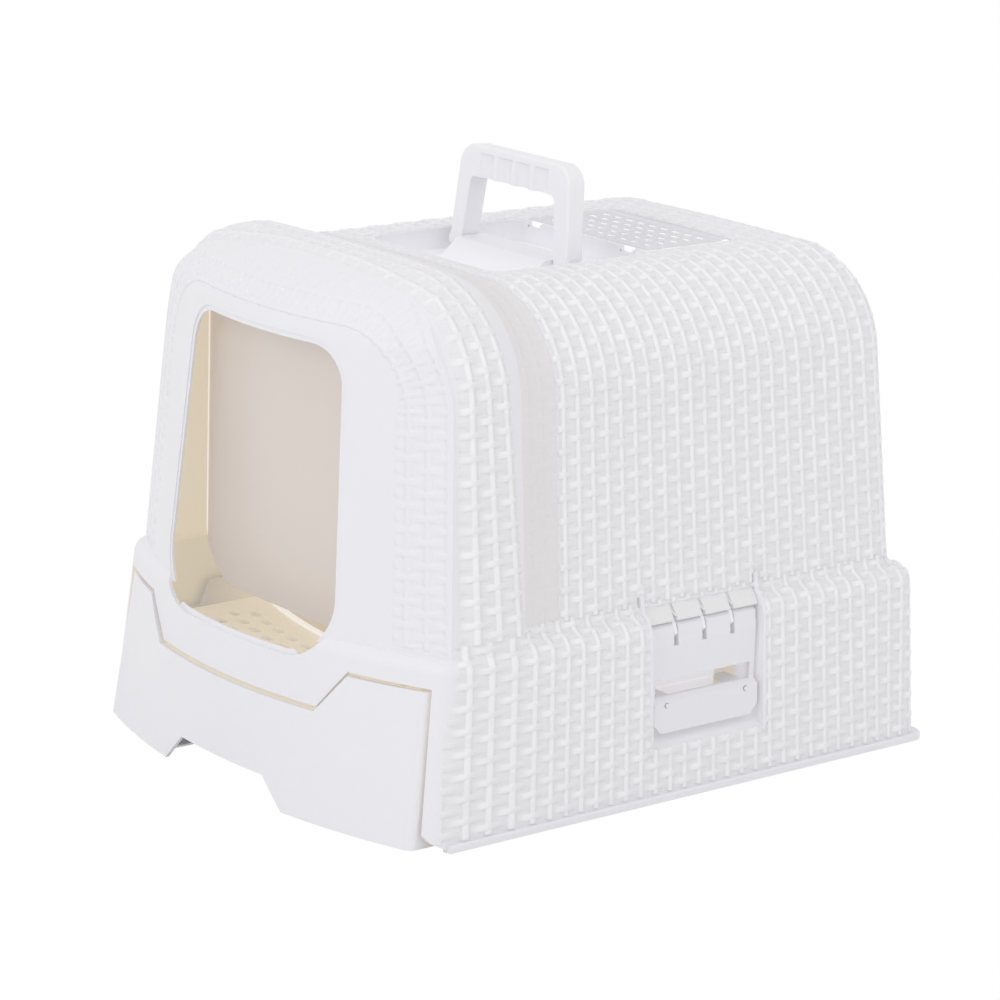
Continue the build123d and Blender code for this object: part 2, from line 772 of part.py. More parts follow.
# Latches
def make_latch():
    """Right latch: hinged plate with a window for the catch and a proud pull tab."""
    back = latch_face - latch_thickness
    profile = (
        (back, latch_bottom),
        (latch_face, latch_bottom),
        (latch_face, latch_pivot_z - 8.0),
        (latch_pivot_x + 3.6, latch_pivot_z + 3.8),
        (latch_pivot_x + 0.6, latch_pivot_z + 5.8),
        (latch_pivot_x - 3.2, latch_pivot_z + 4.6),
        (latch_pivot_x - 3.6, latch_pivot_z - 2.4),
        (back, latch_pivot_z - 6.6),
    )
    plate = extruded_in_y(profile, latch_y0, latch_y1)
    tab = extruded_in_y(
        ((back, latch_bottom), (latch_tab_face, latch_bottom - 1.0),
         (latch_tab_face - 0.8, latch_window_bottom - 3.0), (latch_face, latch_window_bottom),
         (back, latch_window_bottom)),
        latch_y0, latch_y1,
    )
    tab = tab - extruded_in_y(
        ((back - 1.0, latch_bottom - 3.0), (latch_tab_face - 2.6, latch_bottom - 3.0),
         (latch_tab_face - 3.2, latch_window_bottom - 5.5), (back - 1.0, latch_window_bottom - 5.5)),
        latch_y0 + 2.4, latch_y1 - 2.4,
    )
    behind_tab = block(
        back - 2.0, latch_face + 0.1, latch_y0 + 2.4, latch_y1 - 2.4, 30.0, latch_window_bottom - 5.5,
    )
    body = (plate - behind_tab) + tab
    window = block(
        back - 4.0, latch_tab_face + 4.0, latch_y0 + latch_window_side, latch_y1 - latch_window_side,
        latch_window_bottom, latch_window_top,
    )
    body = body - window
    # two hooks on the upper edge of the tab that grip under the catch of the tub
    for y in (latch_y0 + latch_window_side + 5.0, latch_y1 - latch_window_side - 5.0 - latch_hook_width):
        hook = block(
            back - latch_hook_length, back + 1.0, y, y + latch_hook_width,
            latch_window_bottom - latch_hook_height, latch_window_bottom,
        )
        body = body + hook
    # chamfered lower corners of the tab
    for side in (-1, 1):
        edge = latch_y0 if side < 0 else latch_y1
        triangle = Polyline(
            (160.0, edge + side, latch_bottom - 2.0),
            (160.0, edge + side, latch_bottom + latch_tab_corner),
            (160.0, edge - side * latch_tab_corner, latch_bottom - 2.0),
            close=True,
        )
        body = body - extrude(Face(Wire(triangle.edges())), amount=40.0, dir=(1, 0, 0))
    # slits for the hood ears
    for y in lug_places():
        half = latch_lug_width / 2.0 + latch_lug_gap
        body = body - block(160.0, 190.0, y - half, y + half, latch_pivot_z - 9.5, latch_pivot_z + 12.0)
    # two small moulding studs above the tab
    for y in (latch_y0 + 11.0, latch_y1 - 11.0):
        stud = rod((latch_tab_face - 3.0, y, latch_window_bottom - 5.0), "x", 3.2, 1.5)
        body = body + stud
    return body - latch_pin_hole(pin_clearance)


def make_latch_pin():
    return rod(
        (latch_pivot_x, pocket_y0 - 1.6, latch_pivot_z), "y", pocket_width + 3.2, latch_pin_diameter / 2.0,
    )


# Base tub
def tub_outline(z, half, front, rear, corner):
    plate = Pos(0, (front + rear) / 2.0, z) * Rectangle(2.0 * half, rear - front)
    corners = plate.vertices().sort_by(Axis.Y)[-2:]
    return fillet(corners, corner)


def make_tub():
    low = tub_outline(tub_bottom, tub_half_width, tub_front, tub_rear, tub_corner)
    high = tub_outline(tub_rim_height, tub_top_half_width, tub_front, tub_top_rear, tub_corner)
    outer = Solid.make_loft([low.face().outer_wire(), high.face().outer_wire()], True)
    low_in = tub_outline(
        tub_bottom + tub_wall, tub_half_width - tub_wall, tub_front - 5.0, tub_rear - tub_wall,
        tub_corner - tub_wall,
    )
    high_in = tub_outline(
        tub_rim_height + 1.0, tub_top_half_width - tub_wall, tub_front - 5.0, tub_top_rear - tub_wall,
        tub_corner - tub_wall,
    )
    inner = Solid.make_loft([low_in.face().outer_wire(), high_in.face().outer_wire()], True)
    tub = outer - inner
    # outward rim that the ledge of the hood sits on, cut away beside the latch pockets
    rim = extrude(tub_outline(
        tub_rim_height - tub_wall, tub_rim_half_width, tub_front, tub_rim_rear, tub_corner + 4.0,
    ), amount=tub_wall, dir=(0, 0, 1))
    rim = rim - extrude(tub_outline(
        tub_rim_height - tub_wall - 1.0, tub_top_half_width - 1.0, tub_front - 5.0, tub_top_rear - 1.0,
        tub_corner - 1.0,
    ), amount=tub_wall + 2.0, dir=(0, 0, 1))
    gap_block = block(
        tub_top_half_width + 0.4, 200.0, pocket_y0 - 6.0, pocket_y1 + 6.0, 90.0, 140.0,
    )
    rim = rim - gap_block - mirrored(gap_block)
    tub = tub + rim
    # runners for the drawer
    for side in (-1, 1):
        x = side * runner_x
        tub = tub + block(
            x - runner_width / 2.0, x + runner_width / 2.0, tub_front, tub_rear - 12.0,
            tub_bottom + tub_wall - 0.2, tub_bottom + tub_wall + runner_height,
        )
    # catches for the latches
    catch_y = pocket_middle + catch_shift
    catch_z = latch_window_bottom + catch_clearance
    catch = block(
        tub_half_width - 1.0, pocket_floor - pocket_wall - catch_gap,
        catch_y - catch_width / 2.0, catch_y + catch_width / 2.0, catch_z, catch_z + catch_height,
    )
    tub = tub + catch + mirrored(catch)
    # shallow seats for the rubber feet
    for x in (-foot_x, foot_x):
        for y in (foot_front, foot_rear):
            tub = tub - rod((x, y, tub_bottom - 1.0), "z", 1.8, foot_diameter / 2.0)
    return tub


def make_feet():
    feet = []
    for x in (-foot_x, foot_x):
        for y in (foot_front, foot_rear):
            foot = rod((x, y, 0.0), "z", tub_bottom + 0.8, foot_diameter / 2.0 - 0.3)
            rim = foot.faces().sort_by(Axis.Z)[0].edges()
            feet.append(fillet(rim, 0.8))
    return Compound(children=feet)


# Drawer
drawer_floor = tub_bottom + tub_wall + runner_height


def bowed_front(z, middle, half, bow_radius, inset):
    """Plan outline of the drawer front at height z."""
    bow = bow_radius - inset
    front = middle + inset
    side = half - inset
    corner_y = front + bow - sqrt(bow * bow - side * side)
    back_y = -150.0
    edges = [
        Line((side, corner_y, z), (side, back_y, z)),
        Line((side, back_y, z), (-side, back_y, z)),
        Line((-side, back_y, z), (-side, corner_y, z)),
        ThreePointArc((-side, corner_y, z), (0, front, z), (side, corner_y, z)),
    ]
    outline = Face(Wire(edges))
    corners = outline.vertices().sort_by(Axis.Y)[:2]
    return fillet(corners, 7.0 - inset / 2.0).face()


def drawer_front_body(inset):
    low = bowed_front(
        drawer_front_bottom, drawer_front_middle, drawer_front_half_width, drawer_front_bow, inset,
    )
    high = bowed_front(
        shoulder_line + 1.0, drawer_front_top_middle, drawer_front_top_half_width,
        drawer_front_top_bow, inset,
    )
    return Solid.make_loft([low.outer_wire(), high.outer_wire()], True)


def make_drawer():
    low = tub_outline(drawer_floor, drawer_half_width - 2.0, -190.0, drawer_rear - 2.0, drawer_corner)
    high = tub_outline(drawer_back_height, drawer_half_width, -190.0, drawer_rear, drawer_corner)
    outer = Solid.make_loft([low.face().outer_wire(), high.face().outer_wire()], True)
    low_in = tub_outline(
        drawer_floor + drawer_wall, drawer_half_width - 2.0 - drawer_wall, -215.0,
        drawer_rear - 2.0 - drawer_wall, drawer_corner - drawer_wall,
    )
    high_in = tub_outline(
        drawer_back_height + 1.0, drawer_half_width - drawer_wall, -215.0, drawer_rear - drawer_wall,
        drawer_corner - drawer_wall,
    )
    inner = Solid.make_loft([low_in.face().outer_wire(), high_in.face().outer_wire()], True)
    # curved front panel, hollow from behind, with short returns at both ends
    hollow = drawer_front_body(drawer_front_wall)
    front = drawer_front_body(0.0) - hollow
    front = front & block(-200.0, 200.0, -260.0, -198.0 + drawer_front_return, -5.0, 130.0)
    front = front & extruded_in_y(drawer_bay(gap), -260.0, -150.0)
    # tray walls and floor run forward to the panel, clipped to its inner side
    walls = outer
    prow_low = Pos(0, -212.0, drawer_floor) * Rectangle(2.0 * (drawer_half_width - 2.0), 46.0)
    prow_high = Pos(0, -212.0, drawer_back_height) * Rectangle(2.0 * drawer_half_width, 46.0)
    prow = Solid.make_loft([prow_low.face().outer_wire(), prow_high.face().outer_wire()], True)
    prow_in_low = Pos(0, -212.0, drawer_floor + drawer_wall) * Rectangle(
        2.0 * (drawer_half_width - 2.0 - drawer_wall), 60.0,
    )
    prow_in_high = Pos(0, -212.0, drawer_back_height + 1.0) * Rectangle(
        2.0 * (drawer_half_width - drawer_wall), 60.0,
    )
    prow_in = Solid.make_loft([prow_in_low.face().outer_wire(), prow_in_high.face().outer_wire()], True)
    prow = (prow - prow_in) & drawer_front_body(0.5)
    prow = prow & extruded_in_y(drawer_bay(gap), -260.0, -150.0)
    # the tray sides drop under the hood tongue at the front
    tray = (walls - inner) + prow
    dip = extruded_in_x(
        ((-260.0, tongue_bottom - gap), (-150.0, tongue_bottom - gap), (-120.0, 140.0), (-260.0, 140.0)),
        -drawer_half_width, drawer_half_width,
    )
    tray = tray - dip
    drawer = tray + front
    # ledges that the sieve plate lies on
    ledge_outer = drawer_half_width - drawer_wall + 0.6
    ledge = block(ledge_outer - 4.6, ledge_outer, -204.0, sieve_rear - 4.0, sieve_height - 4.0, sieve_height)
    drawer = drawer + ledge + mirrored(ledge)
    # finger notch in the lower edge of the panel
    notch = extruded_in_y(
        ((-notch_half_width, -5.0), (notch_half_width, -5.0), (notch_half_width, 1.0),
         (notch_top_half_width, notch_height), (-notch_top_half_width, notch_height),
         (-notch_half_width, 1.0)),
        -260.0, -200.0,
    )
    pull = extruded_in_y(
        ((-notch_half_width + 4.0, -5.0), (notch_half_width - 4.0, -5.0),
         (notch_top_half_width, notch_height), (-notch_top_half_width, notch_height)),
        -260.0, -207.0,
    )
    drawer = drawer - notch - pull
    # sill that closes the tray behind the notch
    sill = extruded_in_x(
        ((-207.0, drawer_floor), (-204.6, drawer_floor), (-204.6, notch_height + 2.4),
         (-236.0, notch_height + 2.4), (-236.0, notch_height), (-207.0, notch_height)),
        -notch_half_width - 2.0, notch_half_width + 2.0,
    )
    sill = sill & drawer_front_body(0.5)
    return drawer + sill


# Sieve plate
def panel_y(x, z):
    """Inner side of the drawer front at height z."""
    share = (z - drawer_front_bottom) / (shoulder_line + 1.0 - drawer_front_bottom)
    low = drawer_front_middle + drawer_front_bow - sqrt(drawer_front_bow ** 2 - x * x)
    high = drawer_front_top_middle + drawer_front_top_bow - sqrt(drawer_front_top_bow ** 2 - x * x)
    return low + (high - low) * share + drawer_front_wall


def sieve_y(x, depth):
    """Curve on the sieve plate at a distance behind its front edge."""
    return panel_y(x, sieve_height) + sieve_front_gap + depth


def sieve_band(depth_front, depth_rear, z0, z1):
    half = sieve_half_width
    front = [(x, sieve_y(x, depth_front), z0) for x in (-half, 0.0, half)]
    rear = [(x, sieve_y(x, depth_rear), z0) for x in (half, 0.0, -half)]
    edges = [
        ThreePointArc(*front),
        Line(front[2], rear[0]),
        ThreePointArc(*rear),
        Line(rear[2], front[0]),
    ]
    return extrude(Face(Wire(edges)), amount=z1 - z0, dir=(0, 0, 1))


def make_sieve():
    depth = sieve_rear - sieve_y(0.0, 0.0)
    top = sieve_height + sieve_thickness
    plate = sieve_band(0.0, depth, sieve_height, top)
    ridge = sieve_band(depth - sieve_ridge_width, depth, sieve_height, sieve_height + sieve_ridge_height)
    apron = sieve_band(depth - 2.4, depth, sieve_height - 12.0, sieve_height + 1.0)
    apron = apron & block(-sieve_apron_half_width, sieve_apron_half_width, -300.0, 0.0, 0.0, 200.0)
    plate = plate + ridge + apron
    # oval holes in staggered rows that follow the bow of the front
    slots = []
    for row in range(sieve_rows):
        row_depth = 14.0 + row * sieve_row_pitch
        shift = 0.5 if row % 2 else 0.0
        for column in range(sieve_columns):
            x = (column - (sieve_columns - 1) / 2.0 + shift) * sieve_column_pitch
            if abs(x) > sieve_half_width - 14.0:
                continue
            slot = extrude(SlotOverall(sieve_hole_length, sieve_hole_width), amount=6.0)
            slots.append(Pos(x, sieve_y(x, row_depth), sieve_height - 2.0) * slot)
    return plate - slots


# Flap
def make_flap():
    top = flap_pivot_z - 3.0
    plate = block(
        -flap_half_width, flap_half_width, flap_y - flap_thickness / 2.0, flap_y + flap_thickness / 2.0,
        flap_bottom, top,
    )
    low_edges = plate.edges().filter_by(Axis.Y).sort_by(Axis.Z)[:2]
    plate = fillet(low_edges, flap_corner)
    barrel = rod((-flap_half_width, flap_y, flap_pivot_z), "x", 2.0 * flap_half_width, flap_barrel_radius)
    flap = plate + barrel
    bead = block(
        -flap_half_width + 14.0, flap_half_width - 14.0, flap_y - 3.4, flap_y - 0.5, top - 12.0, top - 9.0,
    )
    flap = flap + bead
    for side in (-1, 1):
        start = flap_half_width - 12.0 if side > 0 else -flap_half_width - 1.0
        bore_radius = flap_pin_diameter / 2.0 + flap_bore_clearance
        flap = flap - rod((start, flap_y, flap_pivot_z), "x", 13.0, bore_radius)
    return flap


def make_flap_pivot():
    """Right pivot plug, pushed from outside through the hood ear into the flap barrel."""
    inner = flap_half_width + flap_lug_gap + 0.6
    outer = inner + flap_lug_thickness
    pin = rod(
        (flap_half_width - 10.0, flap_y, flap_pivot_z), "x", outer - flap_half_width + 10.0,
        flap_pin_diameter / 2.0,
    )
    head = rod((outer, flap_y, flap_pivot_z), "x", 2.0, flap_pin_diameter / 2.0 + 2.2)
    return pin + head


latch = make_latch()
latch_pin = make_latch_pin()
flap_pivot = make_flap_pivot()

nodes = {
    "hood_shell": make_hood(),
    "flap_door": make_flap(),
    "flap_pivot_right": flap_pivot,
    "flap_pivot_left": mirrored(flap_pivot),
    "carry_handle": make_handle(),
    "filter_cover": make_filter_cover(),
    "carbon_filter": make_carbon_filter(),
    "latch_right": latch,
    "latch_left": mirrored(latch),
    "latch_pin_right": latch_pin,
    "latch_pin_left": mirrored(latch_pin),
    "base_tub": make_tub(),
    "rubber_feet": make_feet(),
    "drawer_tray": make_drawer(),
    "sieve_plate": make_sieve(),
}

for name, shape in nodes.items():
    export_step(shape, f"parts/{name}.step")
    print(name, "solids", len(shape.solids()), "volume", round(shape.volume / 1000.0, 1), "cm3")
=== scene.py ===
from math import acos, asin, cos, floor, pi, radians, sin, sqrt

import bmesh
import bpy
import numpy as np
from mathutils import Matrix, Vector
from mathutils.bvhtree import BVHTree


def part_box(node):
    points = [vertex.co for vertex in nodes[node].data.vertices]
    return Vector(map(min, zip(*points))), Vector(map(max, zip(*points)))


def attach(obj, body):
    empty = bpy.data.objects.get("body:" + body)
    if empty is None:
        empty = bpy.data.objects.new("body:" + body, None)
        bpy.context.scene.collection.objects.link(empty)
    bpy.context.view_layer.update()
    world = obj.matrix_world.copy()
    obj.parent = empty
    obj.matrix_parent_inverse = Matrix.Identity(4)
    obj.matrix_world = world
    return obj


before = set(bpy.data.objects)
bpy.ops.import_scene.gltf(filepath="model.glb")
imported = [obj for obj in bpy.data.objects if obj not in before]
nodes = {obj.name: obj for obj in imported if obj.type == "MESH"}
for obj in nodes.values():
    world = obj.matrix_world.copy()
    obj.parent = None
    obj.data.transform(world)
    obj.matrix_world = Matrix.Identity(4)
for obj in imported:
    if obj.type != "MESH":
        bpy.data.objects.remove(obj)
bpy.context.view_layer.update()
scene = bpy.context.scene
mm = 0.001


# node helpers, for materials and geometry trees alike
def addNode(tree, kind, values=None, **props):
    node = tree.nodes.new(kind)
    for key, value in props.items():
        setattr(node, key, value)
    for key, value in (values or {}).items():
        if isinstance(value, bpy.types.NodeSocket):
            tree.links.new(value, node.inputs[key])
        else:
            node.inputs[key].default_value = value
    return node


def calc(tree, operation, *terms):
    return addNode(tree, "ShaderNodeMath", dict(enumerate(terms)), operation=operation).outputs[0]


# camera, matched to the photograph
camera = {
    "place": (2.006, -1.627, 0.853),
    "lens": 138.74,
    "yaw": 50.99,
    "pitch": 14.94,
    "roll": 1.84,
}


def makeCamera():
    yaw, pitch, roll = (radians(camera[k]) for k in ("yaw", "pitch", "roll"))
    ahead = Vector((-sin(yaw) * cos(pitch), cos(yaw) * cos(pitch), -sin(pitch)))
    level = Vector((cos(yaw), sin(yaw), 0.0))
    upright = level.cross(ahead)
    right = level * cos(roll) + upright * sin(roll)
    up = upright * cos(roll) - level * sin(roll)
    data = bpy.data.cameras.new("photoCamera")
    data.lens = camera["lens"]
    data.sensor_width = 36.0
    data.clip_start, data.clip_end = 0.05, 50.0
    obj = bpy.data.objects.new("photoCamera", data)
    scene.collection.objects.link(obj)
    turn = Matrix((right, up, -ahead)).transposed().to_4x4()
    obj.matrix_world = Matrix.Translation(camera["place"]) @ turn
    scene.camera = obj


makeCamera()
print("camera placed")


# materials
def newMaterial(name):
    material = bpy.data.materials.new(name)
    material.use_nodes = True
    tree = material.node_tree
    shader = tree.nodes["Principled BSDF"]
    return material, tree, shader


def mixColour(tree, share, first, second):
    tint = addNode(tree, "ShaderNodeMix", data_type="RGBA")
    for name, value in (("Factor", share), ("A", first), ("B", second)):
        socket = tint.inputs[name]
        if isinstance(value, bpy.types.NodeSocket):
            tree.links.new(value, socket)
        else:
            socket.default_value = (*value, 1.0) if isinstance(value, tuple) else value
    return tint.outputs["Result"]


def ramp(tree, value, low, high):
    limits = {"Value": value, "From Min": low, "From Max": high}
    return addNode(tree, "ShaderNodeMapRange", limits).outputs["Result"]


def allOf(tree, *terms):
    result = terms[0]
    for term in terms[1:]:
        result = calc(tree, "MULTIPLY", result, term)
    return result


# in every moulded plastic: ends of the painted highlight's share and of the cloudiness, and depths of the bumps
# in metres
moulding = {
    "highlightLow": 0.15, "highlightHigh": 0.85, "cloudLow": 0.3, "cloudHigh": 0.7, "waveDepth": 0.002,
    "grainDepth": 0.0002,
}
# painted light: a warm colour and glow on inner faces stand in for light through the thin walls, and a paler
# glow lifts the shade of the recesses
innerLook = {
    "colour": (0.78, 0.745, 0.65), "shade": (0.74, 0.70, 0.59), "glowColour": (1.0, 0.92, 0.83),
    "recessGlowColour": (1.0, 0.985, 0.96), "recessGlow": 0.19,
}


# Moulded plastic: faint cloudiness in colour and gloss, fine grain and a slow waviness. glow(tree) gives the
# shares of painted light, the warm glow of the inner side and the pale glow of the recesses, which is None
# where the piece has none.
def mouldedPlastic(name, look, glow=None):
    material, tree, shader = newMaterial(name)
    place = addNode(tree, "ShaderNodeTexCoord").outputs["Object"]
    cloud = addNode(tree, "ShaderNodeTexNoise", {"Vector": place, "Scale": look["cloudScale"], "Detail": 3.0})
    colour = mixColour(tree, cloud.outputs["Fac"], look["colour"], look["shade"])
    # painted highlight: a paler colour where the weave tree marked tops and front flanks
    if "paintedHighlight" in look:
        share = addNode(tree, "ShaderNodeAttribute", attribute_name="paintedHighlight").outputs["Fac"]
        share = ramp(tree, share, moulding["highlightLow"], moulding["highlightHigh"])
        colour = mixColour(tree, share, colour, look["paintedHighlight"])
    # painted light: inner faces take a warm colour and glow, recesses a pale glow
    if glow:
        inside, recess = glow(tree)
        warm = mixColour(tree, cloud.outputs["Fac"], innerLook["colour"], innerLook["shade"])
        colour = mixColour(tree, inside, colour, warm)
        light = mixColour(tree, inside, innerLook["recessGlowColour"], innerLook["glowColour"])
        tree.links.new(light, shader.inputs["Emission Color"])
        strength = calc(tree, "MULTIPLY", inside, look["glow"])
        if recess is not None:
            strength = calc(tree, "MULTIPLY_ADD", recess, innerLook["recessGlow"], strength)
        tree.links.new(strength, shader.inputs["Emission Strength"])
    tree.links.new(colour, shader.inputs["Base Color"])
    gloss = addNode(tree, "ShaderNodeMapRange", {
        "Value": cloud.outputs["Fac"], "From Min": moulding["cloudLow"], "From Max": moulding["cloudHigh"],
        "To Min": look["roughLow"], "To Max": look["roughHigh"],
    })
    tree.links.new(gloss.outputs["Result"], shader.inputs["Roughness"])
    wave = addNode(tree, "ShaderNodeTexNoise", {"Vector": place, "Scale": look["waveScale"], "Detail": 1.0})
    slow = addNode(tree, "ShaderNodeBump", {
        "Height": wave.outputs["Fac"], "Strength": look["waveStrength"], "Distance": moulding["waveDepth"],
    })
    grain = addNode(tree, "ShaderNodeTexNoise", {"Vector": place, "Scale": look["grainScale"], "Detail": 2.0})
    fine = addNode(tree, "ShaderNodeBump", {
        "Height": grain.outputs["Fac"], "Strength": look["grainStrength"], "Distance": moulding["grainDepth"],
        "Normal": slow.outputs["Normal"],
    })
    tree.links.new(fine.outputs["Normal"], shader.inputs["Normal"])
    shader.inputs["Specular IOR Level"].default_value = look["specular"]
    return material


whiteLook = {
    "colour": (0.825, 0.822, 0.855), "shade": (0.805, 0.803, 0.835), "cloudScale": 14.0,
    "roughLow": 0.36, "roughHigh": 0.48, "waveScale": 22.0, "waveStrength": 0.12,
    "grainScale": 1400.0, "grainStrength": 0.25, "specular": 0.4, "glow": 0.18,
}
# the woven plastic carries the paler colour of the painted highlight
weaveLook = dict(
    whiteLook, colour=(0.812, 0.809, 0.832), shade=(0.797, 0.794, 0.817), paintedHighlight=(0.882, 0.879, 0.897),
)
slopeLook = dict(whiteLook, colour=(0.815, 0.808, 0.815), shade=(0.79, 0.783, 0.79))
# painted light: the handle is a lighter copy of the white plastic
handleLitLook = dict(whiteLook, colour=(0.87, 0.867, 0.895), shade=(0.85, 0.847, 0.875))
# painted shade: the valley between arch and vault is a darker, warmer copy of the white plastic
valleyShadeLook = dict(whiteLook, colour=(0.785, 0.765, 0.77), shade=(0.755, 0.735, 0.745))
lidLook = dict(whiteLook, colour=(0.76, 0.758, 0.79), shade=(0.72, 0.718, 0.75))


def axes(tree, output):
    place = addNode(tree, "ShaderNodeTexCoord").outputs[output]
    return addNode(tree, "ShaderNodeSeparateXYZ", {0: place}).outputs


# Masks of the painted light, in metres in the shared frame. Inward faces look at a piece's middle, which runs
# along y for middleHalf to each side and lies between the two heights in middle. A tilt is the upward part of a
# normal.
inwardMask = {"middleHalf": 0.150, "least": 0.004}
hoodMask = {
    "middle": (-1.0, 0.180), "front": -0.199, "ceilingTilt": -0.5, "ceilingHalf": 0.172, "ceilingLow": 0.1,
    "wellLow": 0.3285, "wellHalf": 0.0715, "wellFade": (0.3460, 0.3300), "wellGlowShare": 0.55,
    "pocketInner": 0.1615, "pocketTop": 0.134, "pocketMiddle": 0.034, "pocketHalf": 0.0495,
    "pocketFade": (0.188, 0.170), "pocketRise": (0.145, 0.095),
}
tubMask = {"catchInner": 0.1585, "catchTop": 0.095, "catchGlowShare": 1.3, "front": -0.199}
drawerMask = {"middle": (0.090, 1.0), "half": 0.1515, "fade": (-0.150, -0.105)}
lidMask = {"edgeTilt": 0.5, "edgeGlowShare": 2.0}
sieveMask = {"ridgeDepth": 0.0012, "ridgeHighlightShare": 2.0}


# share 1 on faces that look towards the middle, with the place: distance from the middle plane, y and z
def inwardFaces(tree, middleLow, middleHigh):
    x, y, z = axes(tree, "Object")
    nx, ny, nz = axes(tree, "Normal")
    outward = calc(tree, "MULTIPLY", x, nx)
    middleHalf = inwardMask["middleHalf"]
    for value, normal, low, high in ((y, ny, -middleHalf, middleHalf), (z, nz, middleLow, middleHigh)):
        kept = addNode(tree, "ShaderNodeClamp", {"Value": value, "Min": low, "Max": high}).outputs[0]
        outward = calc(tree, "MULTIPLY_ADD", calc(tree, "SUBTRACT", value, kept), normal, outward)
    return calc(tree, "LESS_THAN", outward, -inwardMask["least"]), calc(tree, "ABSOLUTE", x), y, z


def below(tree, value, limit):
    return calc(tree, "LESS_THAN", value, limit)


def above(tree, value, limit):
    return calc(tree, "GREATER_THAN", value, limit)


# Painted light: faces that look inwards, apart from the handle well and the latch pockets, take the warm glow
# of light through the walls; the well and the pockets take a pale glow that grows deeper in.
def insideHood(tree):
    inward, wide, y, z = inwardFaces(tree, *hoodMask["middle"])
    down = allOf(tree, below(tree, axes(tree, "Normal")[2], hoodMask["ceilingTilt"]),
                 below(tree, wide, hoodMask["ceilingHalf"]), above(tree, z, hoodMask["ceilingLow"]))
    inward = allOf(tree, calc(tree, "MAXIMUM", inward, down), above(tree, y, hoodMask["front"]))
    inWell = allOf(tree, above(tree, z, hoodMask["wellLow"]), below(tree, wide, hoodMask["wellHalf"]))
    beside = calc(tree, "ABSOLUTE", calc(tree, "SUBTRACT", y, hoodMask["pocketMiddle"]))
    inPocket = allOf(tree, above(tree, wide, hoodMask["pocketInner"]), below(tree, z, hoodMask["pocketTop"]),
                     below(tree, beside, hoodMask["pocketHalf"]))
    clear = calc(tree, "SUBTRACT", 1.0, calc(tree, "MAXIMUM", inWell, inPocket))
    pocketGlow = allOf(tree, inPocket, ramp(tree, wide, *hoodMask["pocketFade"]),
                        ramp(tree, z, *hoodMask["pocketRise"]))
    wellGlow = allOf(tree, inWell, ramp(tree, z, *hoodMask["wellFade"]), hoodMask["wellGlowShare"])
    return allOf(tree, inward, clear), calc(tree, "MAXIMUM", pocketGlow, wellGlow)


# painted light: the catch, deep behind the latch window, glows pale so that it stands out there; the rest of
# the tub away from the front takes the warm glow of light through the walls
def insideTub(tree):
    x, y, z = axes(tree, "Object")
    atCatch = allOf(tree, above(tree, calc(tree, "ABSOLUTE", x), tubMask["catchInner"]),
                    below(tree, z, tubMask["catchTop"]))
    inside = allOf(tree, calc(tree, "SUBTRACT", 1.0, atCatch), above(tree, y, tubMask["front"]))
    return inside, allOf(tree, atCatch, tubMask["catchGlowShare"])


# painted light: the tray's inner side takes the warm glow of light through the walls, which fades out towards
# the front panel
def insideDrawer(tree):
    inward, wide, y, _ = inwardFaces(tree, *drawerMask["middle"])
    inTray = below(tree, wide, drawerMask["half"])
    return allOf(tree, inward, inTray, ramp(tree, y, *drawerMask["fade"])), None


# painted light: the steep cut edges of the lid glow pale
def lidEdgeGlow(tree):
    steep = below(tree, axes(tree, "Normal")[2], lidMask["edgeTilt"])
    return 0.0, allOf(tree, steep, lidMask["edgeGlowShare"])


# painted light: all of the sieve plate takes the warm glow of light through the walls, apart from the top of
# its ridge, which takes a pale painted highlight
def wholeSieve(tree):
    ridge = above(tree, axes(tree, "Object")[2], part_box("sieve_plate")[1][2] - sieveMask["ridgeDepth"])
    return calc(tree, "SUBTRACT", 1.0, ridge), allOf(tree, ridge, sieveMask["ridgeHighlightShare"])


whitePlastic = mouldedPlastic("whitePlastic", whiteLook)
hoodPlastic = mouldedPlastic("hoodPlastic", dict(whiteLook, glow=0.235), insideHood)
handleLitPlastic = mouldedPlastic("handleLitPlastic", handleLitLook)
valleyShadedPlastic = mouldedPlastic("valleyShadedPlastic", valleyShadeLook)
wovenPlastic = mouldedPlastic("wovenPlastic", weaveLook)
drawerPlastic = mouldedPlastic("drawerPlastic", whiteLook, insideDrawer)
tubPlastic = mouldedPlastic("tubPlastic", whiteLook, insideTub)
lidPlastic = mouldedPlastic("lidPlastic", lidLook, lidEdgeGlow)
sievePlastic = mouldedPlastic("sievePlastic", dict(whiteLook, glow=0.23), wholeSieve)

# frosted flap with a faint painted glow, and a painted highlight in a strip along its side edges
doorLook = {
    "colour": (0.61, 0.565, 0.54), "shade": (0.64, 0.595, 0.565), "cloudScale": 7.0, "rough": 0.3,
    "through": 0.22, "refraction": 1.46, "grainScale": 700.0, "grainStrength": 0.3, "grainDepth": 0.0002,
    "glowColour": (1.0, 0.89, 0.80), "glow": 0.13, "edge": (0.9, 0.87, 0.84), "edgeGlow": 0.15,
    "strip": 0.0016,
}


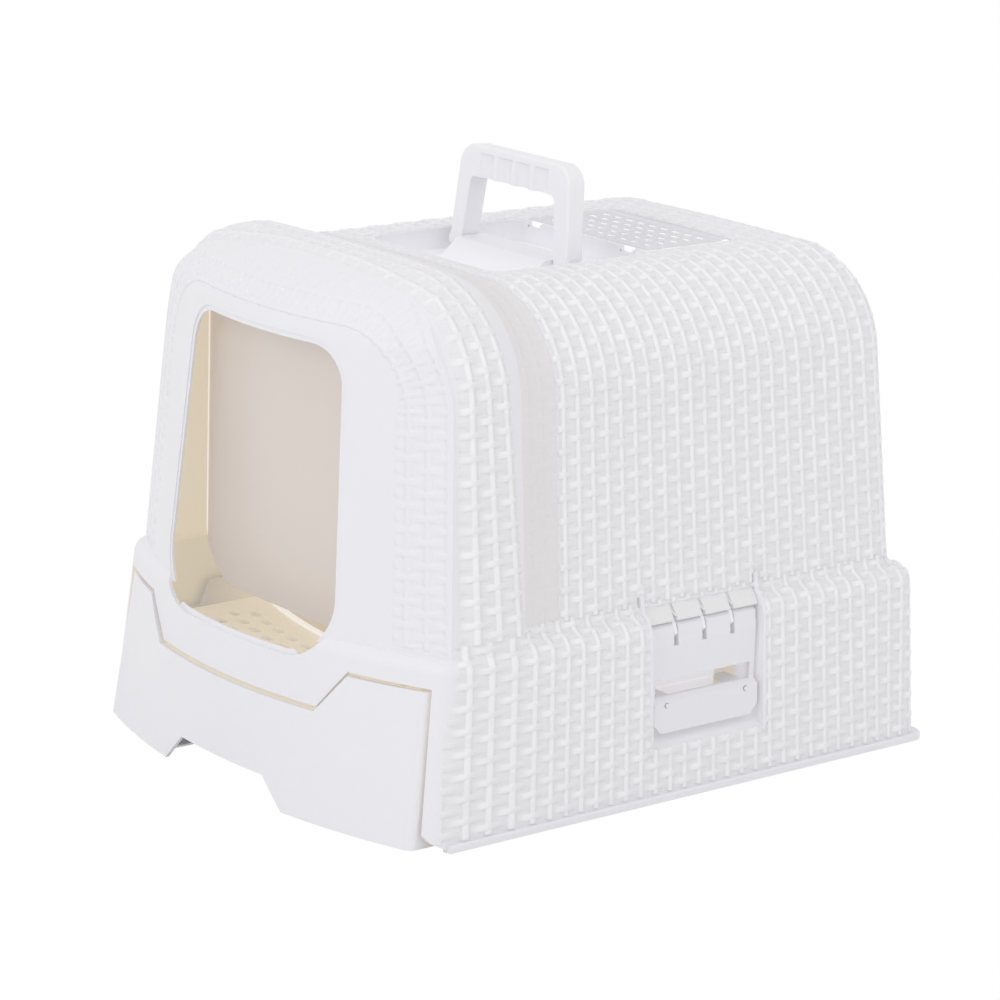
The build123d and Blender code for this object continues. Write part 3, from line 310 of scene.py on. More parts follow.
def frostedPlastic():
    material, tree, shader = newMaterial("frostedPlastic")
    place = addNode(tree, "ShaderNodeTexCoord").outputs["Object"]
    fine = {"Vector": place, "Scale": doorLook["grainScale"], "Detail": 2.0}
    cloud = addNode(tree, "ShaderNodeTexNoise", dict(fine, Scale=doorLook["cloudScale"]))
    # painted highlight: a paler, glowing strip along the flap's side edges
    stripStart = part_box("flap_door")[1][0] - doorLook["strip"]
    edge = above(tree, calc(tree, "ABSOLUTE", axes(tree, "Object")[0]), stripStart)
    colour = mixColour(tree, cloud.outputs["Fac"], doorLook["colour"], doorLook["shade"])
    tree.links.new(mixColour(tree, edge, colour, doorLook["edge"]), shader.inputs["Base Color"])
    light = calc(tree, "MULTIPLY_ADD", edge, doorLook["edgeGlow"], doorLook["glow"])
    tree.links.new(light, shader.inputs["Emission Strength"])
    grain = addNode(tree, "ShaderNodeTexNoise", fine)
    bump = addNode(tree, "ShaderNodeBump", {
        "Height": grain.outputs["Fac"], "Strength": doorLook["grainStrength"],
        "Distance": doorLook["grainDepth"],
    })
    tree.links.new(bump.outputs["Normal"], shader.inputs["Normal"])
    shader.inputs["Roughness"].default_value = doorLook["rough"]
    shader.inputs["Transmission Weight"].default_value = doorLook["through"]
    shader.inputs["IOR"].default_value = doorLook["refraction"]
    shader.inputs["Emission Color"].default_value = (*doorLook["glowColour"], 1.0)
    return material


frosted = frostedPlastic()


# filter foam, rubber of the feet and the moulding marks on the latches
foamLook = {
    "dark": (0.015, 0.015, 0.016), "light": (0.05, 0.05, 0.052), "grainScale": 900.0, "grainDepth": 0.0008,
    "grainStrength": 0.6, "rough": 0.9,
}
rubberLook = {
    "dark": (0.07, 0.07, 0.075), "light": (0.11, 0.11, 0.115), "grainScale": 500.0, "grainDepth": 0.0003,
    "grainStrength": 0.6, "rough": 0.75,
}
markLook = {
    "dark": (0.42, 0.36, 0.30), "light": (0.55, 0.49, 0.43), "grainScale": 900.0, "grainDepth": 0.2,
    "grainStrength": 0.6, "rough": 0.7,
}


# matte material with one grain for colour and bump
def grainyMatte(name, look):
    material, tree, shader = newMaterial(name)
    place = addNode(tree, "ShaderNodeTexCoord").outputs["Object"]
    grain = addNode(tree, "ShaderNodeTexNoise", {"Vector": place, "Scale": look["grainScale"], "Detail": 4.0})
    colour = mixColour(tree, grain.outputs["Fac"], look["dark"], look["light"])
    tree.links.new(colour, shader.inputs["Base Color"])
    bump = addNode(tree, "ShaderNodeBump", {
        "Height": grain.outputs["Fac"], "Strength": look["grainStrength"], "Distance": look["grainDepth"],
    })
    tree.links.new(bump.outputs["Normal"], shader.inputs["Normal"])
    shader.inputs["Roughness"].default_value = look["rough"]
    return material


filterFoam = grainyMatte("filterFoam", foamLook)
footRubber = grainyMatte("footRubber", rubberLook)
print("materials made")

# each solid takes its one finish
finishes = {
    "hood_shell": hoodPlastic,
    "carry_handle": handleLitPlastic,
    "filter_cover": lidPlastic,
    "latch_right": whitePlastic,
    "latch_left": whitePlastic,
    "drawer_tray": drawerPlastic,
    "sieve_plate": sievePlastic,
    "base_tub": tubPlastic,
    "flap_door": frosted,
    "flap_pivot_right": whitePlastic,
    "flap_pivot_left": whitePlastic,
    "latch_pin_right": whitePlastic,
    "latch_pin_left": whitePlastic,
    "carbon_filter": filterFoam,
    "rubber_feet": footRubber,
}
for nodeName, finish in finishes.items():
    cadMesh = nodes[nodeName].data
    if not cadMesh.materials:
        cadMesh.materials.append(finish)
    for i in range(len(cadMesh.materials)):
        cadMesh.materials[i] = finish


# The hood, in millimetres like all sizes of the weave. Vault and arch have straight sides, round shoulders
# and a flat roof; half and shoulder give where a side meets its shoulder, and draft how far it leans.
vault = {
    "half": 157.3, "top": 344.0, "shoulder": 71.0, "draft": 0.077, "low": 125.0, "rear": 222.5,
    "rearSlope": 0.062, "rearRounding": 26.0,
}
arch = {"half": 162.0, "top": 354.5, "shoulder": 84.0, "draft": 0.085, "low": 125.0}
skirt = {
    "half": 187.5, "topHalf": 180.5, "rear": 235.0, "topRear": 229.5, "corner": 19.0, "ledge": 125.0,
    "rounding": 11.0,
}
cove = 8.0  # radius of the hollow between the ledge and the vault


# lengths of one side, one shoulder and the roof
def outlineLengths(shape):
    tilt = asin(shape["draft"])
    side = (shape["top"] - shape["shoulder"] + shape["shoulder"] * sin(tilt) - shape["low"]) / cos(tilt)
    bend = shape["shoulder"] * (pi / 2 - tilt)
    roof = 2.0 * (shape["half"] - shape["shoulder"])
    return side, bend, roof


# point and outward direction at a distance along the outline, from the right foot over the roof to the left
def outlinePoint(shape, along):
    tilt = asin(shape["draft"])
    side, bend, roof = outlineLengths(shape)
    total = 2.0 * (side + bend) + roof
    mirrored = along > total / 2
    if mirrored:
        along = total - along
    centreX = shape["half"] - shape["shoulder"]
    centreZ = shape["top"] - shape["shoulder"]
    if along < side:
        nx, nz = cos(tilt), sin(tilt)
        left = side - along
        x = centreX + shape["shoulder"] * nx + left * sin(tilt)
        z = centreZ + shape["shoulder"] * nz - left * cos(tilt)
    elif along < side + bend:
        turn = tilt + (along - side) / shape["shoulder"]
        nx, nz = cos(turn), sin(turn)
        x = centreX + shape["shoulder"] * nx
        z = centreZ + shape["shoulder"] * nz
    else:
        nx, nz = 0.0, 1.0
        x = centreX - (along - side - bend)
        z = shape["top"]
    if mirrored:
        x, nx = -x, -nx
    return x, z, nx, nz


# woven relief: skins that follow the hood's surface, each strand over one stake and under the next
weave = {
    "pitch": 12.49, "row": 7.62, "stakeHalf": 2.1, "strandHalf": 2.7, "relief": 1.9, "dip": 0.1,
    "stakeShare": 0.76, "lift": 0.1, "sink": 0.45,
}
# how sharply a strand rises, and how strong the painted highlight on the crossings is
crossing = {
    "sharpness": 1.8, "leastHighlight": 0.55, "unevenness": 0.7, "flankShift": 0.3, "flankSharpness": 4.0,
}
# inputs of the tree: the size that each one takes, and its unit
weaveInputs = {
    "Pitch": ("pitch", mm), "Row": ("row", mm), "Stake half": ("stakeHalf", mm),
    "Strand half": ("strandHalf", mm), "Relief": ("relief", mm), "Dip": ("dip", 1.0),
    "Stake share": ("stakeShare", 1.0), "Lift": ("lift", mm), "Sink": ("sink", mm),
}
# what each point of a skin carries for the tree
skinData = {
    "alongU": "FLOAT", "alongV": "FLOAT", "fade": "FLOAT", "strength": "FLOAT", "outward": "FLOAT_VECTOR",
}


def weaveTree():
    tree = bpy.data.node_groups.new("wovenRelief", "GeometryNodeTree")
    face = tree.interface
    face.new_socket("Geometry", in_out="INPUT", socket_type="NodeSocketGeometry")
    for name in weaveInputs:
        face.new_socket(name, in_out="INPUT", socket_type="NodeSocketFloat")
    face.new_socket("Finish", in_out="INPUT", socket_type="NodeSocketMaterial")
    face.new_socket("Geometry", in_out="OUTPUT", socket_type="NodeSocketGeometry")
    given = addNode(tree, "NodeGroupInput").outputs
    kept = {}
    for name, kind in skinData.items():
        node = addNode(tree, "GeometryNodeInputNamedAttribute", {"Name": name}, data_type=kind)
        kept[name] = node.outputs[0]
    u = calc(tree, "DIVIDE", kept["alongU"], given["Pitch"])
    v = calc(tree, "DIVIDE", kept["alongV"], given["Row"])
    row = calc(tree, "FLOOR", v)
    fromStake = calc(tree, "MULTIPLY", calc(tree, "PINGPONG", u, 0.5), given["Pitch"])
    fromRow = calc(tree, "ABSOLUTE", calc(tree, "SUBTRACT", calc(tree, "FRACT", v), 0.5))
    fromRow = calc(tree, "MULTIPLY", fromRow, given["Row"])
    # round cross-sections
    rounds = []
    for distance, half in ((fromStake, given["Stake half"]), (fromRow, given["Strand half"])):
        share = calc(tree, "POWER", calc(tree, "DIVIDE", distance, half), 2.0)
        rounds.append(calc(tree, "SQRT", calc(tree, "MAXIMUM", calc(tree, "SUBTRACT", 1.0, share), 0.0)))
    # the painted highlight a little different at each crossing, as if woven by hand
    stakeNumber = calc(tree, "FLOOR", calc(tree, "ADD", u, 0.5))
    cell = addNode(tree, "ShaderNodeCombineXYZ", {0: stakeNumber, 1: row, 2: given["Pitch"]}).outputs[0]
    noise = addNode(tree, "ShaderNodeTexWhiteNoise", {"Vector": cell}, noise_dimensions="3D")
    chance = noise.outputs["Value"]
    uneven = calc(tree, "MULTIPLY_ADD", chance, crossing["unevenness"], crossing["leastHighlight"])
    stake = calc(tree, "MULTIPLY", rounds[0], given["Stake share"])
    # the strand rises over even crossings and dives at odd ones
    swing = calc(tree, "COSINE", calc(tree, "MULTIPLY", calc(tree, "ADD", u, row), pi))
    swing = calc(tree, "POWER", calc(tree, "MULTIPLY_ADD", swing, 0.5, 0.5), crossing["sharpness"])
    high = calc(tree, "MULTIPLY_ADD", swing, calc(tree, "SUBTRACT", 1.0, given["Dip"]), given["Dip"])
    strand = calc(tree, "MULTIPLY", rounds[1], high)
    height = calc(tree, "MAXIMUM", strand, stake)
    # painted highlight: the stake where it lies on top, and the front flank of each rise of a strand, are made
    # paler as if lit from the front
    shifted = calc(tree, "ADD", calc(tree, "ADD", u, row), crossing["flankShift"])
    flank = calc(tree, "COSINE", calc(tree, "MULTIPLY", shifted, pi))
    flank = calc(tree, "POWER", calc(tree, "MULTIPLY_ADD", flank, 0.5, 0.5), crossing["flankSharpness"])
    stakeTopHighlight = calc(tree, "MULTIPLY", rounds[0], above(tree, stake, strand))
    highlightShare = calc(tree, "MAXIMUM", stakeTopHighlight, calc(tree, "MULTIPLY", rounds[1], flank))
    highlightShare = allOf(tree, highlightShare, uneven, kept["strength"])
    height = calc(tree, "MULTIPLY", height, kept["strength"])
    highlightShare = calc(tree, "MULTIPLY", highlightShare, kept["fade"])
    # the painted highlight is stored on the points for the material
    marked = addNode(tree, "GeometryNodeStoreNamedAttribute", {
        "Geometry": given["Geometry"], "Name": "paintedHighlight", "Value": highlightShare,
    }, data_type="FLOAT", domain="POINT")
    # the edge of a skin dips under the surface that it follows
    rise = calc(tree, "MULTIPLY_ADD", height, given["Relief"], given["Lift"])
    rise = calc(tree, "MULTIPLY", calc(tree, "ADD", rise, given["Sink"]), kept["fade"])
    rise = calc(tree, "SUBTRACT", rise, given["Sink"])
    offset = addNode(tree, "ShaderNodeVectorMath", {0: kept["outward"], "Scale": rise}, operation="SCALE")
    shape = marked.outputs[0]
    for kind, values in (
        ("GeometryNodeSetPosition", {"Offset": offset.outputs[0]}),
        ("GeometryNodeSetShadeSmooth", {}),
        ("GeometryNodeRealizeInstances", {}),
        ("GeometryNodeSetMaterial", {"Material": given["Finish"]}),
    ):
        shape = addNode(tree, kind, dict(values, Geometry=shape)).outputs[0]
    addNode(tree, "NodeGroupOutput", {"Geometry": shape})
    return tree


wovenRelief = weaveTree()


# turn the tree's result into the object's own mesh
def applyTree(obj, tree, inputs):
    modifier = obj.modifiers.new("shape", "NODES")
    modifier.node_group = tree
    for item in tree.interface.items_tree:
        if item.item_type == "SOCKET" and item.in_out == "INPUT" and item.name in inputs:
            modifier[item.identifier] = inputs[item.name]
    bpy.context.view_layer.update()
    shaped = bpy.data.meshes.new_from_object(obj.evaluated_get(bpy.context.evaluated_depsgraph_get()))
    obj.modifiers.remove(modifier)
    obj.data = shaped
    for name in skinData:
        if name in shaped.attributes:
            shaped.attributes.remove(shaped.attributes[name])


# how closely the skins follow: samples over half a stake or strand, as shares of its half width, and in
# millimetres the free end before the last sample, and how far a free place may lie under the surface
sampling = {"shares": (0.0, 0.48, 0.82, 1.02), "endGap": 0.4, "under": 0.2}


# sample places that fall on the edges of stakes and strands
def samplesAlong(start, end, pitch, half, shift=0.0):
    steps = [share * half for share in sampling["shares"]]
    steps += [(steps[-1] + pitch / 2) / 2, pitch / 2]
    places = {round(start, 3), round(end, 3)}
    for i in range(floor((start - shift) / pitch) - 1, floor((end - shift) / pitch) + 2):
        for step in steps:
            for place in (i * pitch + shift + step, i * pitch + shift - step):
                if start + sampling["endGap"] < place < end - sampling["endGap"]:
                    places.add(round(place, 3))
    return sorted(places)


def surfaceOf(name):
    mesh = nodes[name].data
    points = [v.co.copy() for v in mesh.vertices]
    return BVHTree.FromPolygons(points, [tuple(p.vertices) for p in mesh.polygons])


# point of the surface under a guide's place, or None where the surface lies too far from it
def pointUnder(surface, place, outward, slack, free, reach):
    hit, _, _, gap = surface.ray_cast(place + outward * reach * mm, -outward, 2.0 * reach * mm)
    if hit is None or abs(gap - reach * mm) > slack * mm:
        return None
    return place if free and gap > (reach - sampling["under"]) * mm else hit


# A skin over part of a surface. guide(u, v) gives a place near the surface, the outward direction, how far
# the surface may lie from it, the strength of the relief, and whether the skin may leave the surface: it then
# keeps to the place wherever the surface isn't above it. joins lists the edges that meet the next piece of a
# split skin, each as the axis (0 for u, 1 for v) and the first (0) or last (-1) line along it.
def makeSkin(name, uPlaces, vPlaces, guide, surface, body, sizes, finish, reach=14.0,
             joins=()):
    points, normals, keep, strengths = [], [], [], []
    for u in uPlaces:
        for v in vPlaces:
            found = guide(u, v)
            hit, outward, strength = None, Vector((0, 0, 1)), 1.0
            if found:
                place, outward, slack, strength, free = found
                outward = Vector(outward).normalized()
                hit = pointUnder(surface, Vector(place) * mm, outward, slack, free, reach)
            points.append(hit if hit is not None else Vector())
            normals.append(outward)
            strengths.append(strength)
            keep.append(hit is not None)
    keep = np.array(keep).reshape(len(uPlaces), len(vPlaces))
    cell = keep[:-1, :-1] & keep[1:, :-1] & keep[:-1, 1:] & keep[1:, 1:]
    # cells round each point: at the skin's edges, where there are fewer than four, the relief fades out
    touching = np.zeros(keep.shape, int)
    for du in (0, 1):
        for dv in (0, 1):
            touching[du:du + cell.shape[0], dv:dv + cell.shape[1]] += cell
    # along a joint the other half of the cells is in the next piece, so that the relief runs on
    for axis, edge in joins:
        line = (edge, slice(None)) if axis == 0 else (slice(None), edge)
        touching[line] *= 2
    used = touching > 0
    index = np.full(keep.shape, -1)
    index[used] = np.arange(used.sum())
    a, b = np.nonzero(cell)
    quads = np.stack([index[a, b], index[a + 1, b], index[a + 1, b + 1], index[a, b + 1]], 1)
    flat = used.ravel()
    chosen = [p for p, k in zip(points, flat) if k]
    directions = np.array([n[:] for n, k in zip(normals, flat) if k], np.float32)
    mesh = bpy.data.meshes.new(name)
    mesh.from_pydata(chosen, [], quads.tolist())
    uGrid, vGrid = np.meshgrid(uPlaces, vPlaces, indexing="ij")
    strengths = np.array(strengths).reshape(keep.shape)
    for key, values in (("alongU", uGrid * mm), ("alongV", vGrid * mm), ("fade", (touching == 4) * 1.0),
                        ("strength", strengths)):
        mesh.attributes.new(key, "FLOAT", "POINT").data.foreach_set("value", values[used].astype(np.float32))
    mesh.attributes.new("outward", "FLOAT_VECTOR", "POINT").data.foreach_set("vector", directions.ravel())
    mesh.update()
    firstFaces = mesh.polygons[:200]
    if sum(p.normal.dot(Vector(directions[p.vertices[0]])) for p in firstFaces) < 0:
        mesh.flip_normals()
    obj = bpy.data.objects.new(name, mesh)
    scene.collection.objects.link(obj)
    inputs = {label: sizes[key] * unit for label, (key, unit) in weaveInputs.items()}
    applyTree(obj, wovenRelief, dict(inputs, Finish=finish))
    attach(obj, body)
    print("skin", name, len(obj.data.polygons), "quads")


def columnPlaces(start, end, sizes):
    return samplesAlong(start, end, sizes["pitch"], sizes["stakeHalf"])


def rowPlaces(start, end, sizes):
    return samplesAlong(start, end, sizes["row"], sizes["strandHalf"], sizes["row"] / 2)


# pieces of a list of places, with shared ends
def splitAt(places, cuts):
    ends = [0] + [sum(place < cut for place in places) for cut in cuts] + [len(places) - 1]
    return [places[low:high + 1] for low, high in zip(ends, ends[1:])]


hoodSurface = surfaceOf("hood_shell")
well = {"half": 70.5, "front": -70.5, "rear": 60.5, "bayHalf": 66.5, "bayFront": 65.5, "bayRear": 146.5}
# stakes from the front edge of the vault, rows from the cove over the ledge
vaultLines = {
    "front": -86.0, "first": 5.8, "rows": 19, "firstRow": 4.97, "start": -5.0, "end": 316.0, "under": 1.2,
    "cutShare": 0.6, "lastTurn": 1.5, "slack": 3.0, "roofLess": 0.45, "roofHalf": 100.0, "roofFade": 25.0,
    "roofDepth": 30.0,
}


# the handle well and the filter bay
def overOpening(x, y):
    inWell = abs(x) < well["half"] and well["front"] < y < well["rear"]
    return inWell or abs(x) < well["bayHalf"] and well["bayFront"] < y < well["bayRear"]


def vaultGuide(u, v):
    x, z, nx, nz = outlinePoint(vault, v - rowStart)
    rear = vault["rear"] - vault["rearSlope"] * (z - vault["low"])
    r, front, slack = vault["rearRounding"], vaultLines["front"], vaultLines["slack"]
    start = vault["rear"] - r
    # the stakes stand closer together where the rear leans forwards
    fan = (rear - r - front) / (start - front)
    y = u + vaultLines["first"] + front
    # the relief is lower on the flat of the roof
    onRoof = z > vault["top"] - vaultLines["roofDepth"]
    middle = max(0.0, min(1.0, (vaultLines["roofHalf"] - abs(x)) / vaultLines["roofFade"]))
    strength = 1.0 - vaultLines["roofLess"] * middle * onRoof
    if y <= start:
        y = front + (y - front) * fan
        if onRoof and overOpening(x, y):
            return None
        return (x, y, z), (nx, 0.0, nz), slack, strength, False
    turn = (y - start) / r
    if turn > vaultLines["lastTurn"]:
        return None
    inward = r * (1 - cos(turn))
    place = (x - nx * inward, rear - r + r * sin(turn), z - nz * inward)
    return place, (nx * cos(turn), sin(turn), nz * cos(turn)), slack, strength, False


sideLength, bendLength, roofLength = outlineLengths(vault)
rowStart = (vaultLines["rows"] + 0.5) * weave["row"] - vaultLines["firstRow"]
vaultLength = 2 * (sideLength + bendLength) + roofLength
rowLow, rowHigh = rowStart + cove, rowStart + vaultLength - cove
vaultColumns = columnPlaces(vaultLines["start"], vaultLines["end"], weave)
vaultRows = rowPlaces(rowLow - vaultLines["under"], rowHigh + vaultLines["under"], weave)
cutBend = vaultLines["cutShare"] * bendLength
rowCuts = rowStart + sideLength + cutBend, rowStart + vaultLength - sideLength - cutBend
rowJoins = ((1, -1),), ((1, 0), (1, -1)), ((1, 0),)
for partName, partRows, joins in zip(("Right", "Roof", "Left"), splitAt(vaultRows, rowCuts), rowJoins):
    makeSkin("weave" + partName, vaultColumns, partRows, vaultGuide, hoodSurface, "base", weave, wovenPlastic,
             joins=joins)

# rear wall, inside its rounding
rearLines = {"inset": 27.0, "half": 150.0, "low": 128.0, "high": 318.0, "slack": 1.5}


def rearGuide(u, v):
    inside = dict(vault)
    for key in ("half", "top", "shoulder"):
        inside[key] -= rearLines["inset"]
    limit = inside["half"] + (inside["top"] - inside["shoulder"] - v) * vault["draft"]
    high = v - (inside["top"] - inside["shoulder"])
    if high > 0:
        if high > inside["shoulder"]:
            return None
        limit = inside["half"] - inside["shoulder"] + sqrt(inside["shoulder"] ** 2 - high ** 2)
    if abs(u) > limit:
        return None
    rear = vault["rear"] - vault["rearSlope"] * (v - vault["low"])
    return (u, rear, v), (0.0, 1.0, vault["rearSlope"]), rearLines["slack"], 1.0, False


rearColumns = columnPlaces(-rearLines["half"], rearLines["half"], weave)
rearRows = rowPlaces(rearLines["low"], rearLines["high"], weave)
makeSkin("weaveRear", rearColumns, rearRows, rearGuide, hoodSurface, "base", weave, wovenPlastic)

# front arch: three deep columns that spread towards the foot
archWeave = dict(weave, pitch=12.5, row=7.68)
archLines = {
    "first": -160.0, "pitchLow": 17.5, "pitchHigh": 11.2, "straight": 240.0, "firstRow": 3.4, "start": -9.0,
    "end": 31.0, "foot": 6.0, "slack": 12.0, "lowTop": 134.0, "lowSlackRight": 8.0, "lowSlackLeft": 3.0,
    "roofLess": 0.5,
}
sideLength, bendLength, roofLength = outlineLengths(arch)
archLength = 2 * (sideLength + bendLength) + roofLength


def archPitch(v):
    half = min(v, archLength - v)
    share = min(max(half / archLines["straight"], 0.0), 1.0)
    return archLines["pitchLow"] + (archLines["pitchHigh"] - archLines["pitchLow"]) * share


def archGuide(u, v):
    along = v - archWeave["row"] * 0.5 + archLines["firstRow"]
    x, z, nx, nz = outlinePoint(arch, along)
    place = (x, archLines["first"] + u * archPitch(along) / archWeave["pitch"], z)
    slack = archLines["slack"]
    if z <= archLines["lowTop"]:
        slack = archLines["lowSlackRight"] if x > 0 else archLines["lowSlackLeft"]
    return place, (nx, 0.0, nz), slack, 1.0 - archLines["roofLess"] * max(nz, 0.0) ** 2, False


archColumns = columnPlaces(archLines["start"], archLines["end"], archWeave)
archRows = rowPlaces(archLines["foot"], archLength - archLines["foot"], archWeave)
makeSkin("weaveArch", archColumns, archRows, archGuide, hoodSurface, "base", archWeave, wovenPlastic)

# the same rows run on over the fold onto the face, in low relief; plane is a y near the middle of the face
faceWeave = dict(weave, pitch=13.0, row=7.68, relief=1.0, lift=0.05, sink=0.2)
faceLines = {
    "edge": 2.0, "width": 36.0, "low": 126.0, "depth": 39.0, "roofLess": 8.0, "plane": -200.0, "slack": 60.0,
    "reach": 80.0,
}


def faceGuide(u, v):
    x, z, nx, nz = outlinePoint(arch, v)
    depth = faceLines["edge"] + u
    x, z = x - nx * depth, z - nz * depth
    if z < faceLines["low"] or depth > faceLines["depth"] - faceLines["roofLess"] * max(nz, 0.0):
        return None
    return (x, faceLines["plane"], z), (0.0, -1.0, 0.0), faceLines["slack"], 1.0, False


faceColumns = columnPlaces(0.0, faceLines["width"], faceWeave)
faceRows = rowPlaces(0.0, archLength, faceWeave)
makeSkin("weaveFace", faceColumns, faceRows, faceGuide, hoodSurface, "base", faceWeave, whitePlastic,
         reach=faceLines["reach"])

# valley between the arch and the vault, nearly smooth, in plastic with painted shade
valleyWeave = dict(weave, relief=0.4, stakeHalf=1.3, dip=0.0, stakeShare=0.6, lift=0.05, sink=0.2)
valleyLines = {"first": -110.8, "start": -8.0, "end": 25.5, "slack": 12.0}


def valleyGuide(u, v):
    x, z, nx, nz = outlinePoint(vault, v - rowStart)
    return (x, valleyLines["first"] + u, z), (nx, 0.0, nz), valleyLines["slack"], 1.0, False


valleyColumns = columnPlaces(valleyLines["start"], valleyLines["end"], valleyWeave)
valleyRows = rowPlaces(rowLow, rowHigh, valleyWeave)
makeSkin("weaveValley", valleyColumns, valleyRows, valleyGuide, hoodSurface, "base", valleyWeave,
         valleyShadedPlastic)

# skirt: up the right side, over the ledge and the cove, round the rear and back along the left side
skirtWeave = dict(weave, row=7.4)
# Towards the front the stakes stand wider apart, in line with those of the arch: even lists where an even
# spacing would put them, real where they stand. The slack is wider at the front, where the solid flares.
skirtLines = {
    "front": -188.0, "middle": 7.2, "spread": 0.00025, "calm": 40.0, "firstRow": 3.6, "stretch": 0.92,
    "even": (-200.1, -180.1, -167.6, -155.1, -142.6, -130.2, -117.7, -105.2, -92.7),
    "real": (-260.0, -224.0, -200.0, -176.0, -158.0, -139.8, -121.0, -106.3, -92.7),
    "end": -196.5, "endRise": 12.0, "ledgeEnd": 5.5, "low": 6.0, "high": 150.0, "top": 132.5, "topOver": 3.0,
    "cut": 205.0, "slack": 2.0, "flareSlack": 7.0, "flareEnd": -180.0, "ledgeSlack": 5.0, "freeFrom": -172.0,
    "leastLedge": 0.5,
}
skirtFoot = skirt["ledge"] - skirt["rounding"]
cornerLength = skirt["corner"] * pi / 2
rearMiddle = skirt["rear"] - skirt["corner"] + cornerLength + skirt["half"] - skirt["corner"]
# a whole number of stakes, so that both sides mirror each other
rearMiddle = round(rearMiddle / skirtWeave["pitch"]) * skirtWeave["pitch"]

# rays over the ledge, at a height where they miss the cove; the widths of the side wall are measured once
ledgeRays = {"height": 8.0, "outside": 200.0, "end": 215.0, "step": 3.0, "clear": 1.0}


# distance of the hood's side wall from the middle plane, just over the ledge
def wallAt(y):
    start = Vector((ledgeRays["outside"], y, skirt["ledge"] + ledgeRays["height"])) * mm
    hit = hoodSurface.ray_cast(start, Vector((-1, 0, 0)))[0]
    return hit.x / mm if hit is not None else 0.0


wallPlaces = np.arange(-ledgeRays["end"], ledgeRays["end"] + 1.0, ledgeRays["step"])
wallWidths = [wallAt(y) for y in wallPlaces]


# free width of the ledge from a place on the outline, straight inwards
def ledgeAt(x, y, nx, ny):
    clear, height = ledgeRays["clear"], ledgeRays["height"]
    start = Vector((x + nx * clear, y + ny * clear, skirt["ledge"] + height)) * mm
    hit = hoodSurface.ray_cast(start, Vector((-nx, -ny, 0.0)))[0]
    return (hit - start).length / mm - clear - height * vault["rearSlope"] if hit is not None else 0.0


# place on the skirt's outline at a height, with its outward direction and the width of the ledge over it
def skirtOutline(u, z):
    share = z / skirt["ledge"]
    half = skirt["half"] + (skirt["topHalf"] - skirt["half"]) * share
    rear = skirt["rear"] + (skirt["topRear"] - skirt["rear"]) * share
    r = skirt["corner"]
    straight = rear - r
    # distance from the middle of the right side towards the middle of the rear; the left side mirrors it
    left = u > rearMiddle
    w = 2 * rearMiddle - u if left else u
    if w < straight:
        nx, ny = 1.0, 0.0
        y = float(np.interp(w, skirtLines["even"], skirtLines["real"])) if w < skirtLines["even"][-1] else w
        # the spread dies out towards the rear corner
        spread = skirtLines["spread"] * (skirt["ledge"] - z) * min(1.0, (straight - y) / skirtLines["calm"])
        x, y = half, y + (y - skirtLines["middle"]) * spread
        ledgeWidth = half - float(np.interp(y, wallPlaces, wallWidths))
    elif w < straight + cornerLength:
        turn = (w - straight) / r
        nx, ny = cos(turn), sin(turn)
        x, y = half - r + r * nx, straight + r * ny
        ledgeWidth = ledgeAt(x, y, nx, ny)
    else:
        x = (half - r) * (rearMiddle - w) / (rearMiddle - straight - cornerLength)
        y, nx, ny = rear, 0.0, 1.0
        ledgeWidth = ledgeAt(x, y, nx, ny)
    if left:
        x, nx = -x, -nx
    return x, y, nx, ny, ledgeWidth


# tilt, way inwards and rise at a distance beyond the foot: over the edge, along the ledge and up the cove
def overLedge(beyond, ledgeWidth):
    rounding = skirt["rounding"]
    lean = pi / 2
    if ledgeWidth <= rounding + cove:
        lean = acos(1.0 - max(ledgeWidth, skirtLines["leastLedge"]) / (rounding + cove))
    flat = max(ledgeWidth - rounding - cove, 0.0)
    if beyond < rounding * lean:
        turn = beyond / rounding
        return turn, rounding * (1 - cos(turn)), rounding * sin(turn)
    if beyond < rounding * lean + flat:
        return pi / 2, rounding + beyond - rounding * lean, rounding
    turn = max(lean - (beyond - rounding * lean - flat) / cove, 0.0)
    inward = rounding * (1 - cos(lean)) + flat + cove * (cos(turn) - cos(lean))
    rise = rounding * sin(lean) + cove * (sin(lean) - sin(turn))
    over = max(beyond - (rounding + cove) * lean - flat, 0.0)
    rise += over
    inward += over * vault["draft"]
    if over > skirtLines["topOver"] and skirtFoot + rise > skirtLines["top"]:
        return None
    return turn, inward, rise


def skirtGuide(u, v):
    path = v - skirtWeave["row"] * 0.5 + skirtLines["firstRow"]
    if path > skirtFoot:
        path = skirtFoot + (path - skirtFoot) * skirtLines["stretch"]
    z = min(path, skirtFoot)
    x, y, nx, ny, ledgeWidth = skirtOutline(u, z)
    onLedge = path > skirtFoot
    # the front corner, which leans back, stays smooth
    end = skirtLines["end"] + skirtLines["endRise"] * (z / skirt["ledge"])
    if y < end + (skirtLines["ledgeEnd"] if onLedge else 0.0):
        return None
    if not onLedge:
        slack = skirtLines["slack"] if y > skirtLines["flareEnd"] else skirtLines["flareSlack"]
        return (x, y, z), (nx, ny, 0.0), slack, 1.0, False
    found = overLedge(path - skirtFoot, ledgeWidth)
    if found is None:
        return None
    turn, inward, rise = found
    place = (x - nx * inward, y - ny * inward, skirtFoot + rise)
    outward = (nx * cos(turn), ny * cos(turn), sin(turn))
    return place, outward, skirtLines["ledgeSlack"], 1.0, y > skirtLines["freeFrom"]


